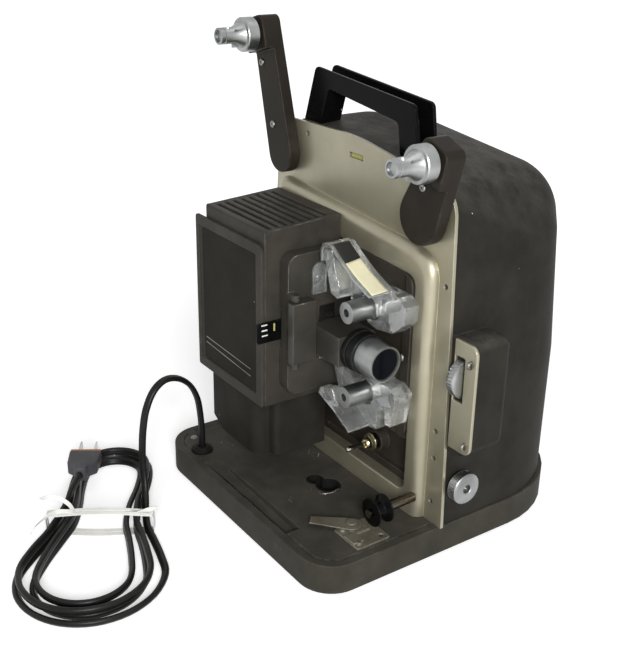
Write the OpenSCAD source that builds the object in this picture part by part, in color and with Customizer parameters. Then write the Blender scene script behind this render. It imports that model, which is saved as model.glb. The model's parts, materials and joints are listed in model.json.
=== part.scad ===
// Table-top 8 mm movie projector, film side facing -Y, lens facing +X.

/* [Base] */
// Length of the base along the lens direction
base_l = 237; // [225:1:260]
// Width of the base from film side to cover side
base_w = 266; // [250:1:290]
// Height of the deck above the table
base_h = 25; // [22:1:32]
// Corner radius of the base on the film side
film_corner_r = 27; // [15:1:40]
// Corner radius of the base on the cover side
cover_corner_r = 85; // [50:1:95]
// Height of the rubber feet that show under the base
foot_gap = 1.5; // [1:0.5:4]
// Wall of the moulded base and cover
shell_wall = 3; // [2:0.5:4]

/* [Plate] */
// Distance from the middle of the base to the face of the flange
plate_offset = 26.7; // [20:0.5:32]
// Height that the raised field stands in front of the flange
plate_step = 8.1; // [6:0.5:10]
// Thickness of the pressed plate
plate_t = 2.5; // [1.5:0.5:3]
// Height of the top edge of the plate at its highest
plate_top = 296; // [285:1:305]
// Width of the flange round the raised field
flange_w = 19.7; // [14:0.5:24]

/* [Lens and film path] */
// Height of the lens axis
lens_z = 151.7; // [147:0.5:156]
// Distance of the lens axis in front of the raised field
lens_out = 20.5; // [18:0.5:22]
// Outer radius of the knurled lens barrel
lens_r = 13.8; // [12:0.1:14.5]
// Radius of the front glass
lens_glass_r = 11.6; // [9:0.1:11.8]
// Height of each sprocket above and below the lens axis
sprocket_rise = 33.4; // [32:0.2:36]
// Radius of the sprocket drums
sprocket_r = 8; // [7:0.1:8.4]
// Teeth on each sprocket
sprocket_teeth = 12; // [8:1:16]

/* [Reel arms] */
// Distance from pivot to spindle on the short supply arm
supply_arm_l = 46; // [42:1:54]
// Distance from pivot to spindle on the long take-up arm
takeup_arm_l = 92.4; // [84:0.5:98]
// Thickness of the arms
arm_t = 10; // [8:0.5:11]
// Radius of the reel spindles that the hub fits over
spindle_r = 6.3; // [4:0.1:6.4]
// Length of the spindle from its disc's back face to its tip
spindle_l = 29.5; // [27:0.5:34]
// Radius of the disc that the reel rests against
spindle_disc_r = 13; // [11:0.5:14]

/* [Lamphouse] */
// Length of the vented box along the lens direction
lamphouse_l = 86; // [80:1:88]
// Distance the vented box stands out from the raised field
lamphouse_out = 67.8; // [62:1:70]
// Height of the lamphouse
lamphouse_h = 144; // [136:1:146]
// Number of ventilation slots in the top
vent_slots = 8; // [4:1:10]
// Width of each ventilation slot
vent_w = 3.2; // [2:0.2:3.8]

/* [Handle] */
// Width of the channel-shaped carrying handle
handle_w = 19.5; // [16:0.5:24]
// Rise of the handle's top edge above the plate
handle_rise = 40; // [36:1:48]
// Wall of the handle channel
handle_wall = 3; // [2:0.5:4]

/* [Fits] */
// Running clearance between a shaft and its bore
run_fit = 0.06; // [0.02:0.01:0.1]
// Gap between parts that stand close without touching
small_gap = 0.35; // [0.3:0.05:0.5]

/* [Cord] */
// Width of the twin mains lead
cord_d = 6.6; // [5:0.1:7.4]
// Loops in the tied hank
hank_loops = 4; // [2:1:4]

/* [Hidden] */
$fn = 64;
cut = 1;
axle_cut = 0.5;

// Faces of the plate, counted along Y
field_sink = 1;
plate_y = -plate_offset;
panel_y = plate_y - plate_step;
plate_back_y = plate_y + plate_t;
panel_back_y = panel_y + plate_t;
field_y = panel_y + field_sink;
field_back_y = panel_back_y + plate_t;

// Outline of the flange, from the ends of the base
plate_front_over = 1.9;
plate_front_x = base_l / 2 + plate_front_over;
plate_rear_in = 0.5;
plate_rear_x = -base_l / 2 + plate_rear_in;
shoulder_front_in = 8.9;
shoulder_front_drop = 17;
shoulder_front_x = plate_front_x - shoulder_front_in;
shoulder_front_z = plate_top - shoulder_front_drop;
shoulder_rear_in = 18;
shoulder_rear_drop = 2;
shoulder_rear_x = plate_rear_x + shoulder_rear_in;
shoulder_rear_z = plate_top - shoulder_rear_drop;
shoulder_r = 22;

// Raised field and the opening in it
panel_front_x = plate_front_x - flange_w;
panel_rear_in = 24;
panel_rear_x = plate_rear_x + panel_rear_in;
ridge_rear_drop = 48;
ridge_rear_z = plate_top - ridge_rear_drop;
ridge_front_drop = 63;
ridge_front_z = plate_top - ridge_front_drop;
bevel_drop = 16;
panel_draft = 1.2;
crown_r = 9;
field_front_in = 16.2;
field_front_x = panel_front_x - field_front_in;
field_rear_in = 8;
field_rear_x = panel_rear_x + field_rear_in;
field_below = 64.7;
field_low_z = lens_z - field_below;
field_rear_drop = 9;
field_rear_top_z = ridge_rear_z - bevel_drop - field_rear_drop;
field_front_drop = 3;
field_front_top_z = ridge_front_z - bevel_drop - field_front_drop;
field_r = 9;
window_rise = 17;
window_low_z = base_h + window_rise;

// Holes and slot of the flange
hole_r = 2;
hole_in = 12.9;
hole_x = plate_front_x - hole_in;
hole_low_rise = 17.4;
hole_low_z = base_h + hole_low_rise;
hole_mid_rise = 54;
hole_mid_z = base_h + hole_mid_rise;
hole_high_rise = 76.5;
hole_high_z = base_h + hole_high_rise;
hole_top_rise = 61.3;
hole_top_z = lens_z + hole_top_rise;
corner_hole_in = 57.4;
corner_hole_x = plate_rear_x + corner_hole_in;
corner_hole_drop = 10;
corner_hole_z = plate_top - corner_hole_drop;
slot_x = 1.8;
slot_drop = 15;
slot_z = plate_top - slot_drop;
slot_l = 17;
slot_h = 4;

// Deck, its channel, well and grommet
deck_t = 3;
rim_inset = 7;
rim_groove_w = 1;
rim_groove_d = 0.8;
channel_rear_in = 59.5;
channel_rear_x = -base_l / 2 + channel_rear_in;
channel_front_in = 56.5;
channel_front_x = base_l / 2 - channel_front_in;
channel_in = 13.5;
channel_y = -base_w / 2 + channel_in;
channel_w = 12;
channel_d = 7;
channel_ramp = 24;
cup_front_in = 93.5;
cup_x = base_l / 2 - cup_front_in;
cup_in = 72;
cup_y = -base_w / 2 + cup_in;
cup_r = 10;
cup_lobe_r = 7;
cup_lobe_dx = -13;
cup_lobe_dy = -4;
cup_d = 9;
cup_wall = 1.2;
grommet_r = 9;
grommet_h = 4.5;
grommet_bore = 6.2;
pin_r = 2;
screw_r = 3.2;
screw_head_h = 1.4;
foot_in_x = 30;
foot_x = base_l / 2 - foot_in_x;
foot_in_y = 34;
foot_y = base_w / 2 - foot_in_y;
foot_cover_in = 30;
foot_places = [[-foot_x, -foot_y], [foot_x, -foot_y], [foot_x, foot_y - foot_cover_in],
    [-foot_x, foot_y - foot_cover_in]];
foot_r = 9;
foot_h = 4;

// Rear cover, its bump and its vents
cover_inset = 2;
cover_low_rise = 110;
cover_low_z = base_h + cover_low_rise;
cover_mid_drop = 106;
cover_mid_z = plate_top - cover_mid_drop;
cover_draft = 4;
cover_top_r = 44;
cover_top_in_x = 60.5;
cover_top_in_y = 53;
cover_top_rear_drop = 53;
cover_top_front_drop = 67;
cover_top = [[-base_l / 2 + cover_top_in_x, base_w / 2 - cover_top_in_y, plate_top - cover_top_rear_drop],
    [base_l / 2 - cover_top_in_x, base_w / 2 - cover_top_in_y, plate_top - cover_top_front_drop]];
bump_over = 19.5;
bump_front_x = base_l / 2 + bump_over;
bump_below = 60.7;
bump_low_z = lens_z - bump_below;
bump_above = 26.3;
bump_high_z = lens_z + bump_above;
bump_w = 38.2;
bump_y = plate_back_y + bump_w;
bump_r = 9;
rear_vents = 8;
vent_y = 8;
vent_l = base_w / 6;
vent_rise = 27;
vent_z = base_h + vent_rise;
vent_pitch = 8;

// Bracket and framing wheel
lug_over = 5;
lug_front = bump_front_x + lug_over;
lug_in = 5;
lug_low_z = bump_low_z + lug_in;
lug_above = 2;
lug_high_z = bump_high_z + lug_above;
lug_r = 7;
wheel_r = 15;
wheel_w = 8;
wheel_in = 11;
wheel_x = bump_front_x - wheel_in;
wheel_back = 3.2;
wheel_y = plate_back_y + wheel_back;
wheel_below = 0.7;
wheel_z = lens_z - wheel_below;
wheel_pin_r = 2;
rib_d = 0.5;
rim_ribs = 36;
body_shift = -(lug_front - base_l / 2) / 2;

// Tilt knob, its shaft and the leg that it drives
knob_r = 12.3;
knob_gap = 2.5;
knob_x = base_l / 2 + knob_gap;
knob_w = 9;
knob_back = 12.2;
knob_y = plate_back_y + knob_back;
knob_rise = 34;
knob_z = base_h + knob_rise;
knob_bore_r = 3;
knob_bore_d = 3;
tilt_shaft_r = 3;
rack_pitch_r = 6;
rack_teeth = 12;
rack_in = 16.7;
rack_x = panel_front_x - rack_in;
rack_w = 8;
tilt_shaft_rear_x = rack_x - rack_w;
leg_l = 52;
leg_s = 9;
tooth_h = 2;

// Lamphouse and film boxes
lamphouse_front_x = -3;
lamphouse_rear_x = lamphouse_front_x - lamphouse_l;
lamphouse_y = panel_y - lamphouse_out;
lamphouse_below = 57.7;
lamphouse_low_z = lens_z - lamphouse_below;
lamphouse_top_z = lamphouse_low_z + lamphouse_h;
lamphouse_slope = 4;
lamphouse_wall = 2.5;
vent_end = 4;
vent_start = 6;
top_vent_pitch = (lamphouse_out - 2 * vent_start) / vent_slots;
lamp_panel_over = 12;
lamp_panel_rear_x = lamphouse_rear_x - lamp_panel_over;
lamp_panel_drop = 14;
lamp_panel_top_z = lamphouse_top_z - lamp_panel_drop;
lamp_panel_t = 3.2;
lamp_panel_r = 8;
lamp_frame_w = 8;
film_box_rise = 12;
film_box_low_z = base_h + film_box_rise;
film_box_over = 3;
film_box_rear_x = panel_rear_x - film_box_over;
film_box_mid_in = 25;
film_box_mid_x = lamphouse_front_x - film_box_mid_in;
film_box_out = 61.2;
film_box_y = panel_y - film_box_out;
film_box_front_in = 14.5;
film_box_front_x = lamphouse_front_x - film_box_front_in;
film_box_step = 13;
film_box_front_y = film_box_y + film_box_step;
film_box_r = 9;
film_box_wall = 3;

// Optical line and drive
lens_y = panel_y - lens_out;
drive_back = 26.8;
drive_y = panel_y + drive_back;
wheel_half = 4;
worm_r = 4.4;
worm_wheel_r = sprocket_rise - worm_r - small_gap;
main_shaft_r = 3;
shutter_in = 9;
shutter_x = lamphouse_front_x - shutter_in;
shutter_r = 53;
shutter_t = 1;
shutter_wing_share = 0.72;
shutter_wing_a = 25;
main_rear_over = 22;
main_rear_x = shutter_x - main_rear_over;
main_front_in = 4.5;
main_front_x = field_front_x - main_front_in;
bearing_w = 6;
bearing_h = 7;
bearing_xs = [main_rear_x + bearing_w / 2, main_front_x - bearing_w * 5 / 3];
boss_l = 7;
rib_w = 9;
rib_h = 1.2;
pulley_x = 12;
pulley_w = 8;
pulley_r = 18;
belt_t = 2;
motor_in = 87;
motor_y = base_w / 2 - motor_in;
motor_rise = 57;
motor_z = base_h + motor_rise;
motor_r = 33;
motor_l = 60;
motor_gap = 14;
motor_front_x = pulley_x - motor_gap;
motor_rear_x = motor_front_x - motor_l;
motor_pulley_r = 9;
motor_shaft_r = 3;
fan_gap = 14;
fan_w = 16;
fan_x = motor_rear_x - fan_gap - fan_w;
fan_r = 40;
fan_blades = 8;

// Lamp, its socket and reflector
lamp_in = 42;
lamp_x = lamphouse_front_x - lamp_in;
lamp_r = 11;
socket_h = 14;
shelf_t = 3;
reflector_r = 20;
reflector_in = 26;
reflector_x = lamp_x - reflector_in;
lamp_low_z = lens_z - 3 * lamp_r;
shelf_z = lamp_low_z - socket_h;

// Gate, mode tab and lens
gate_w = 12;
gate_front_x = lamphouse_front_x + gate_w;
gate_out = 34.7;
gate_y = lens_y - gate_out;
gate_below = 46.7;
gate_low_z = lens_z - gate_below;
gate_above = 65.3;
gate_high_z = lens_z + gate_above;
gate_r = 9;
hinge_r = 6;
hinge_x = gate_front_x + hinge_r + small_gap;
hinge_in = 2.4;
hinge_y = gate_y + hinge_in;
hinge_pin_r = 1.6;
door_below = 15.7;
door_low_z = lens_z - door_below;
door_above = 32.3;
door_high_z = lens_z + door_above;
door_out = 17.3;
door_y = lens_y - door_out;
ear_h = 5;
mode_out = 8.4;
mode_rear_y = lamphouse_y - mode_out;
mode_below = 2.7;
mode_low_z = lens_z - mode_below;
mode_h = 16;
mode_w = 31;
mode_t = 1.6;
mode_travel = 8;
carrier_back = 16.8;
carrier_in_y = lens_y + carrier_back;
carrier_below = 11.2;
carrier_low_z = lens_z - carrier_below;
carrier_above = 11.8;
carrier_high_z = lens_z + carrier_above;
carrier_gap = 6;
carrier_rear_x = gate_front_x + carrier_gap;
carrier_l = 34;
carrier_front_x = carrier_rear_x + carrier_l;
clamp_l = 5;
clamp_r = 16;
barrel_tail_r = 9;
barrel_tail_in = 6;
barrel_tail_rear_x = carrier_rear_x + barrel_tail_in;
barrel_l = 28;
barrel_gap = 5.2;
barrel_back_x = carrier_front_x + barrel_gap;
barrel_front_x = barrel_back_x + barrel_l;
barrel_rim = 1.6;
barrel_rib_start = 3;
barrel_rib_l = 14;
barrel_ribs = 40;
glass_t = 3;
aperture_w = 5.4;
aperture_h = 4;
gate_plate_t = 1;
film_gap = 0.5;
plate_half_w = 7;
plate_half_h = 22;
carrier_grip = 11;

// Sprockets and the clear guides round them, whose outlines are shares of the guides' inner radius
upper_z = lens_z + sprocket_rise;
lower_z = lens_z - sprocket_rise;
sprocket_in = 45.7;
sprocket_x = gate_front_x + sprocket_in;
sprocket_out = 15.7;
sprocket_tip_y = lens_y - sprocket_out;
sprocket_gap = 12;
sprocket_back_y = panel_y - sprocket_gap;
sprocket_bore_r = 3;
sprocket_shaft_r = 3;
tooth_rise = 0.9;
tooth_w = 1;
guide_web_t = 3;
guide_back = 6.3;
guide_y = lens_y + guide_back;
strip_y = sprocket_tip_y;
strip_t = 1.6;
block_in_y = panel_y - rib_h - small_gap;
guide_clear = 1.2;
guide_r = sprocket_r + tooth_rise + guide_clear;
upper_top_shares = [[-3.25, 3.85], [-2.95, 4.35], [-2.15, 4.4], [-0.95, 3.65], [0.5, 2.85], [2.5, 2.05]];
upper_web_shares = [[2.9, 1.5], [1.3, 1.1], [1.1, -0.3], [-1.45, -0.7], [-2.35, 0.5], [-2.85, 1.95]];
upper_cheek_shares = [[-3.05, 2.85], [-2.85, 3.65], [-2.35, 4.05], [-1.85, 2.45], [-1.25, 1.3],
    [-1.55, 0.5], [-2.35, 0.7], [-2.75, 1.85]];
block_shares = [[-1.05, 0.7], [-0.25, 1.4], [0.9, 1.65], [2.9, 1.65], [3.75, 1.1], [3.65, -0.15],
    [2.5, -1.2], [0.7, -1.5], [-0.45, -1.3]];
lower_lip_shares = [[-3.2, -0.95], [-2.95, -0.35], [-1.45, 0.15], [-1.05, -0.6], [-1.45, -1.55]];
lower_web_shares = [[-3.2, -0.95], [-3.95, 0.85], [-3.25, 1.05], [-1.25, 0.55], [0.5, 1.25], [2.7, 1.45],
    [3.6, 0.95], [3.3, -0.6], [3.1, -1.6], [2.5, -1.6], [2.4, -0.6], [1.6, -0.6], [1.5, -2.5], [0.7, -2.6]];
lower_strip_shares = [[-3.05, -0.9], [-1.45, -1.55], [0.7, -2.6], [0.7, -2.4], [-1.35, -1.35], [-2.85, -0.7]];
upper_peg_shares = [[1.3, 1], [1.1, -1.15]];
lower_peg_shares = [[-2.45, 0.05], [2.5, 0.55]];
tab_in = 4;
tab_x = gate_front_x + tab_in;
tab_t = 2;
tab_out = 16.7;
tab_w = 12;
tab_rear_y = lens_y - tab_out;
tab_front_y = tab_rear_y + tab_w;
tab_rise = 0.9;
tab_low_z = upper_z + tab_rise;
tab_h = 24;
tab_high_z = tab_low_z + tab_h;

// Reel arms and spindles
supply_in = 33.1;
supply_x = plate_front_x - supply_in;
supply_drop = 37.5;
supply_z = plate_top - supply_drop;
supply_lean = 22.6;
supply_root_r = 19.5;
takeup_in = 34.5;
takeup_x = plate_rear_x + takeup_in;
takeup_drop = 28.5;
takeup_z = plate_top - takeup_drop;
takeup_lean = -15.7;
takeup_root_r = 15.5;
arm_head_r = 13;
arm_head_t = 17;
arm_gap = 1.6;
arm_back_y = plate_y - arm_gap;
arm_pin_r = 5;
arm_corner_r = 6;
spindle_gap = 3;
spindle_back_y = arm_back_y - arm_head_t - spindle_gap;
disc_t = 9.5;
ball_r = 1.5;

// Snubber, cutter and toggle
snubber_in = 4.7;
snubber_x = panel_front_x - snubber_in;
snubber_rise = 17.7;
snubber_z = base_h + snubber_rise;
snubber_shaft_r = 3.2;
snubber_out = 40;
snubber_flange_r = 9.5;
snubber_core_r = 5;
snubber_w = 14;
cutter_front_in = 24.5;
cutter_x = base_l / 2 - cutter_front_in;
cutter_in = 53;
cutter_y = -base_w / 2 + cutter_in;
cutter_s = 30;
cutter_t = 1.6;
cutter_post_r = 4;
blade_t = 1;
blade_l = 31;
blade_w = 15;
blade_turn = 227;
blade_x = cutter_x - cutter_s / 3;
blade_y = cutter_y - pin_r;
toggle_in = 38.5;
toggle_x = field_front_x - toggle_in;
toggle_rise = 41.6;
toggle_z = base_h + toggle_rise;
toggle_r = 5.5;
bat_l = 18;
bat_r = 1.6;
bat_tip_r = 2.4;
ledge_rise = 25;
ledge_z = base_h + ledge_rise;
ledge_h = 3;

// Handle
handle_back = 7.2;
handle_y0 = plate_back_y + handle_back;
handle_rear_in = 38.5;
handle_rear_foot_x = -base_l / 2 + handle_rear_in;
handle_rear_lean = 14;
handle_rear_top_x = handle_rear_foot_x + handle_rear_lean;
handle_front_in = 59.5;
handle_front_foot_x = base_l / 2 - handle_front_in;
handle_front_lean = 6;
handle_front_top_x = handle_front_foot_x - handle_front_lean;
handle_leg_w = 17;
handle_bar_h = 15;
handle_fall = 10;
handle_rear_sink = 3;
handle_rear_foot_z = plate_top - handle_rear_sink;
handle_front_sink = 8;
handle_front_foot_z = plate_top - handle_front_sink;
handle_feet = [[handle_rear_foot_x + handle_leg_w / 2, handle_rear_foot_z],
    [handle_front_foot_x - handle_leg_w / 2, handle_front_foot_z]];
handle_r = 5;

// Route of the free stretch from the grommet to the hank
route = [[-90, -118, 26], [-90, -118, 44], [-90, -119, 60], [-89, -122, 76], [-88, -129, 90], [-87, -140, 99],
    [-86, -152, 101], [-84, -163, 95], [-82, -171, 82], [-81, -175, 66], [-80, -177, 50], [-79, -178, 36],
    [-75, -179, 23], [-68, -182, 12], [-58, -187, 6]];
grommet_x = route[0].x - body_shift;
grommet_y = route[0].y;

// Hank of loops, wider at the far end and drawn in at the tie, that spirals in and then out on top
hank_x = -60;
hank_y = -224;
hank_turn = -32;
hank_long = 115;
hank_near_w = 37;
hank_far_w = 56;
hank_near_pitch = 8.2;
hank_far_pitch = 13;
hank_end_pitch = 8;
hank_waist_s = -12;
hank_waist_l = 38;
hank_waist_share = 0.28;
hank_layer = 7.4;
hank_z = cord_d / 2 + cut / 2;
hank_rings = 24;
hank_turns = hank_loops - 0.5;
hank_half = hank_loops / 2;
run_share = 3 / 24;
far_share = 7 / 24;
near_share = 5 / 24;
tail = [[-16, -29, 14], [-32, -27, 18], [-50, -23, 21]];
tie_w = 6;
tie_t = 1.2;
plug_l = 34;
plug_w = 26;
plug_t = 12;

// Round corners of an outline by arcs of given radii
function unit(v) = v / norm(v);
function corner_arc(a, p, b, r, n) =
    let (u = unit(a - p), v = unit(b - p), half = acos(u * v) / 2, c = p + unit(u + v) * r / sin(half),
        s = p + u * r / tan(half) - c, e = p + v * r / tan(half) - c, a0 = atan2(s.y, s.x),
        d = atan2(e.y, e.x) - a0, turn = d > 180 ? d - 360 : d < -180 ? d + 360 : d)
    [for (i = [0 : n]) c + r * [cos(a0 + turn * i / n), sin(a0 + turn * i / n)]];
function rounded(pts, radii, n = 6) =
    [for (i = [0 : len(pts) - 1]) each radii[i] == 0 ? [pts[i]] :
        corner_arc(pts[(i + len(pts) - 1) % len(pts)], pts[i], pts[(i + 1) % len(pts)], radii[i], n)];
function arc(c, r, a0, a1, n = 12) =
    [for (i = [0 : n]) let (a = a0 + (a1 - a0) * i / n) c + r * [cos(a), sin(a)]];
function box_pts(x0, y0, x1, y1) = [[x0, y0], [x1, y0], [x1, y1], [x0, y1]];

// Moves the layout, whose zero is the middle of the base, so that the whole part is centred
module placed() { translate([body_shift, 0, 0]) children(); }
// Extrudes an outline drawn in X and Z from y0 to y1
module slab_y(y0, y1) { translate([0, y1, 0]) rotate([90, 0, 0]) linear_extrude(y1 - y0) children(); }
// Extrudes an outline drawn in Y and Z from x0 to x1
module slab_x(x0, x1) { translate([x0, 0, 0]) rotate([90, 0, 90]) linear_extrude(x1 - x0) children(); }
// Outline of a rim with ribs along it
function ribbed(r, n) = [for (i = [0 : n - 1]) for (k = [0 : 3]) let (a = (i + k / 4) * 360 / n)
    (k < 2 ? r - rib_d / 4 : r - rib_d) * [cos(a), sin(a)]];
// Points given as shares of the guides' inner radius about a sprocket's axis
function about(z, shares) = [for (p = shares) [sprocket_x, z] + guide_r * p];
module slab_z(z0, z1) { translate([0, 0, z0]) linear_extrude(z1 - z0) children(); }
module rod_y(x, z, y0, y1, r, r2 = undef) {
    translate([x, y1, z]) rotate([90, 0, 0]) cylinder(h = y1 - y0, r1 = r, r2 = is_undef(r2) ? r : r2);
}
module rod_x(y, z, x0, x1, r, r2 = undef) {
    translate([x0, y, z]) rotate([0, 90, 0]) cylinder(h = x1 - x0, r1 = r, r2 = is_undef(r2) ? r : r2);
}
module rod_z(x, y, z0, z1, r) { translate([x, y, z0]) cylinder(h = z1 - z0, r = r); }
module block(lo, hi) { translate(lo) cube(hi - lo); }

// Plan of the base, drawn in by an inset
module base_plan(inset) {
    l = base_l / 2 - inset;
    w = base_w / 2 - inset;
    polygon(rounded(box_pts(-l, -w, l, w),
        [film_corner_r - inset, film_corner_r - inset, cover_corner_r - inset, cover_corner_r - inset], 10));
}

module base_tub() {
    color("#45423d") placed() difference() {
        union() {
            difference() {
                slab_z(foot_gap, base_h) base_plan(0);
                slab_z(foot_gap - cut, base_h - deck_t) base_plan(shell_wall);
            }
            block([channel_rear_x - shell_wall, channel_y - channel_w / 2 - shell_wall, foot_gap + plate_t + small_gap],
                [channel_front_x + shell_wall, channel_y + channel_w / 2 + shell_wall, base_h - deck_t]);
            for (p = foot_places) rod_z(p.x, p.y, foot_gap + plate_t, base_h - deck_t, screw_r * 2);
        }
        for (p = foot_places) rod_z(p.x, p.y, 0, foot_gap + foot_h + cut, pin_r);
        slab_y(channel_y - channel_w / 2, channel_y + channel_w / 2)
            polygon([[channel_rear_x, base_h], [channel_rear_x, base_h + cut], [channel_front_x, base_h + cut],
                [channel_front_x, base_h - channel_d], [channel_rear_x + channel_ramp, base_h - channel_d / 2]]);
        difference() {
            slab_z(base_h - rim_groove_d, base_h + cut) base_plan(rim_inset);
            slab_z(base_h - rim_groove_d - cut, base_h + 2 * cut) base_plan(rim_inset + rim_groove_w);
            block([-base_l, plate_y, foot_gap], [base_l, base_w, base_h + 3 * cut]);
        }
        rod_z(cup_x, cup_y, foot_gap, base_h + cut, cup_r);
        rod_z(cup_x + cup_lobe_dx, cup_y + cup_lobe_dy, foot_gap, base_h + cut, cup_lobe_r);
        rod_z(grommet_x, grommet_y, foot_gap, base_h + cut, grommet_bore);
        translate([rack_x - leg_s / 2 - small_gap, knob_y + rack_pitch_r - tooth_h - small_gap, 0])
            cube([leg_s + 2 * small_gap, leg_s + tooth_h + 2 * small_gap, base_h + cut]);
    }
}

module base_plate() {
    color("#3a3835") placed() difference() {
        slab_z(foot_gap, foot_gap + plate_t) base_plan(shell_wall + small_gap);
        for (p = foot_places) rod_z(p.x, p.y, 0, base_h, pin_r);
        translate([rack_x - leg_s / 2 - small_gap, knob_y + rack_pitch_r - tooth_h - small_gap, 0])
            cube([leg_s + 2 * small_gap, leg_s + tooth_h + 2 * small_gap, base_h]);
    }
}

module feet() {
    color("#1c1c1c") placed() for (p = foot_places) {
        rod_z(p.x, p.y, 0, foot_gap, foot_r);
        rod_z(p.x, p.y, foot_gap, foot_gap + foot_h, pin_r - run_fit);
    }
}

// Outline of the flange, drawn in by an inset
module flange_shape(inset) {
    polygon(rounded([[plate_rear_x + inset, base_h], [plate_front_x - inset, base_h],
        [shoulder_front_x - inset, shoulder_front_z - inset], [slot_x, plate_top - inset],
        [shoulder_rear_x + inset, shoulder_rear_z - inset]],
        [0, 0, shoulder_r, shoulder_r * 10, shoulder_r * 2 / 3], 10));
}

// Outline of the raised field, drawn in by an inset, its top let down by a drop
module raised_shape(inset, drop, corner) {
    polygon(rounded([[panel_rear_x + inset, base_h - inset], [panel_front_x - inset, base_h - inset],
        [panel_front_x - inset, ridge_front_z - drop - inset], [panel_rear_x + inset, ridge_rear_z - drop - inset]],
        [0, 0, corner - inset, shoulder_r / 2], 8));
}

// Raised field with a bevel round its top and sides, drawn in by an inset
module raised_block(inset, back) {
    hull() {
        slab_y(panel_y + inset, panel_y + inset + axle_cut)
            intersection() {
                raised_shape(inset, bevel_drop, crown_r);
                translate([-panel_draft, 0]) raised_shape(inset, 0, shoulder_r);
                translate([panel_draft, 0]) raised_shape(inset, 0, shoulder_r);
            }
        slab_y(plate_y + inset, back) raised_shape(inset, 0, shoulder_r);
    }
}

// Outline of the opening that the mechanism plate fills
module field_shape(inset, low) {
    polygon(rounded([[field_rear_x + inset, low], [field_front_x - inset, low],
        [field_front_x - inset, field_front_top_z - inset], [field_rear_x + inset, field_rear_top_z - inset]],
        [0, field_r, field_r, 0]));
}

// Bearing of the tilt shaft, behind the front edge of the raised field
module tilt_bearing() {
    block([panel_front_x - 2 * plate_t - bearing_w, panel_back_y - cut, knob_z - bearing_h],
        [panel_front_x - plate_t - panel_draft, knob_y + bearing_h, knob_z + bearing_h]);
}

module main_plate() {
    color("#8f876f") placed() difference() {
        union() {
            slab_y(plate_y, plate_back_y) flange_shape(0);
            raised_block(0, plate_back_y);
            tilt_bearing();
        }
        difference() {
            raised_block(plate_t, plate_back_y + cut);
            tilt_bearing();
        }
        slab_y(panel_y - cut, plate_back_y + cut) field_shape(0, window_low_z);
        rod_x(knob_y, knob_z, 0, base_l, tilt_shaft_r + run_fit);
        for (z = [hole_low_z, hole_mid_z, hole_high_z, hole_top_z])
            rod_y(hole_x, z, plate_y - cut, plate_back_y + cut, hole_r);
        rod_y(corner_hole_x, corner_hole_z, plate_y - cut, plate_back_y + cut, hole_r);
        slab_y(plate_y - cut, plate_back_y + cut)
            polygon(box_pts(slot_x - slot_l / 2, slot_z - slot_h / 2, slot_x + slot_l / 2, slot_z + slot_h / 2));
        for (p = [[supply_x, supply_z], [takeup_x, takeup_z]])
            rod_y(p.x, p.y, plate_y - cut, plate_back_y + cut, arm_pin_r + run_fit);
        rod_y(snubber_x, snubber_z, panel_y - cut, panel_back_y + cut, pin_r);
    }
}

// Outer skin of the cover, drawn in by an inset
module cover_body(inset) {
    l = base_l / 2 - cover_inset - inset;
    w = base_w / 2 - cover_inset - inset;
    r = cover_corner_r - cover_inset - inset;
    reach = inset > 0 ? cut : 0;
    hull() {
        for (s = [-1, 1]) {
            translate([s * (l - r), w - r, base_h - reach]) cylinder(h = cover_low_z - base_h, r = r, $fn = 48);
            translate([s * (l - r), w - r, cover_mid_z]) cylinder(h = cut, r = r - cover_draft, $fn = 48);
        }
        block([-l, plate_back_y - reach, base_h - reach], [l, plate_back_y, cover_low_z]);
        slab_y(plate_back_y - reach, plate_back_y + axle_cut) flange_shape(shell_wall + inset);
        for (s = cover_top) translate(s) sphere(r = cover_top_r - inset, $fn = 32);
    }
}
module rear_cover() {
    color("#474440") placed() difference() {
        union() {
            difference() {
                cover_body(0);
                cover_body(shell_wall);
                block([-base_l, -base_w, 0], [base_l, plate_back_y, 2 * plate_top]);
            }
            for (p = handle_feet) block([p.x - handle_leg_w / 2 - cut, handle_y0 - cut, p.y - 2 * handle_bar_h],
                [p.x + handle_leg_w / 2 + cut, handle_y0 + handle_w + cut, p.y]);
            slab_x(base_l / 2 - shoulder_r, bump_front_x)
                polygon(rounded(box_pts(plate_back_y, bump_low_z, bump_y, bump_high_z), [0, bump_r, bump_r, 0]));
        }
        slab_x(base_l / 2 - 2 * shoulder_r, bump_front_x - shell_wall)
            polygon(box_pts(plate_back_y - cut, bump_low_z + shell_wall, bump_y - shell_wall,
                bump_high_z - shell_wall));
        rod_x(knob_y, knob_z, base_l / 4, base_l, tilt_shaft_r + run_fit);
        for (p = handle_feet) rod_z(p.x, handle_y0 + handle_w / 2, p.y - 3 * handle_wall, p.y + cut, pin_r + run_fit);
        for (i = [0 : rear_vents - 1])
            block([-base_l, vent_y, vent_z + i * vent_pitch], [-base_l / 4, vent_y + vent_l, vent_z + i * vent_pitch + vent_w]);
    }
}
module side_bracket() {
    half = wheel_w / 2 + 2 * small_gap;
    color("#8f876f") placed() {
        difference() {
            slab_y(plate_y, plate_back_y)
                polygon(rounded(box_pts(plate_front_x + small_gap, lug_low_z, lug_front, lug_high_z),
                    [0, lug_r, lug_r, 0]));
            block([wheel_x - half, plate_y - cut, wheel_z - wheel_r - pin_r],
                [wheel_x + half, plate_back_y + cut, wheel_z + wheel_r + pin_r]);
        }
        for (x = [wheel_x - half - pin_r, wheel_x + half])
            block([x, plate_back_y, wheel_z - 2 * pin_r], [x + pin_r, wheel_y + 3 * pin_r, wheel_z + 2 * pin_r]);
        rod_x(wheel_y, wheel_z, wheel_x - half - pin_r / 2, wheel_x + half + pin_r / 2, wheel_pin_r);
    }
}

module bracket_screws() {
    color("silver") placed() for (z = [lug_low_z + lug_r, lug_high_z - 2 * lug_r]) {
        rod_y(lug_front - lug_r, z, plate_y - screw_head_h, plate_y, screw_r);
    }
}

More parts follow.
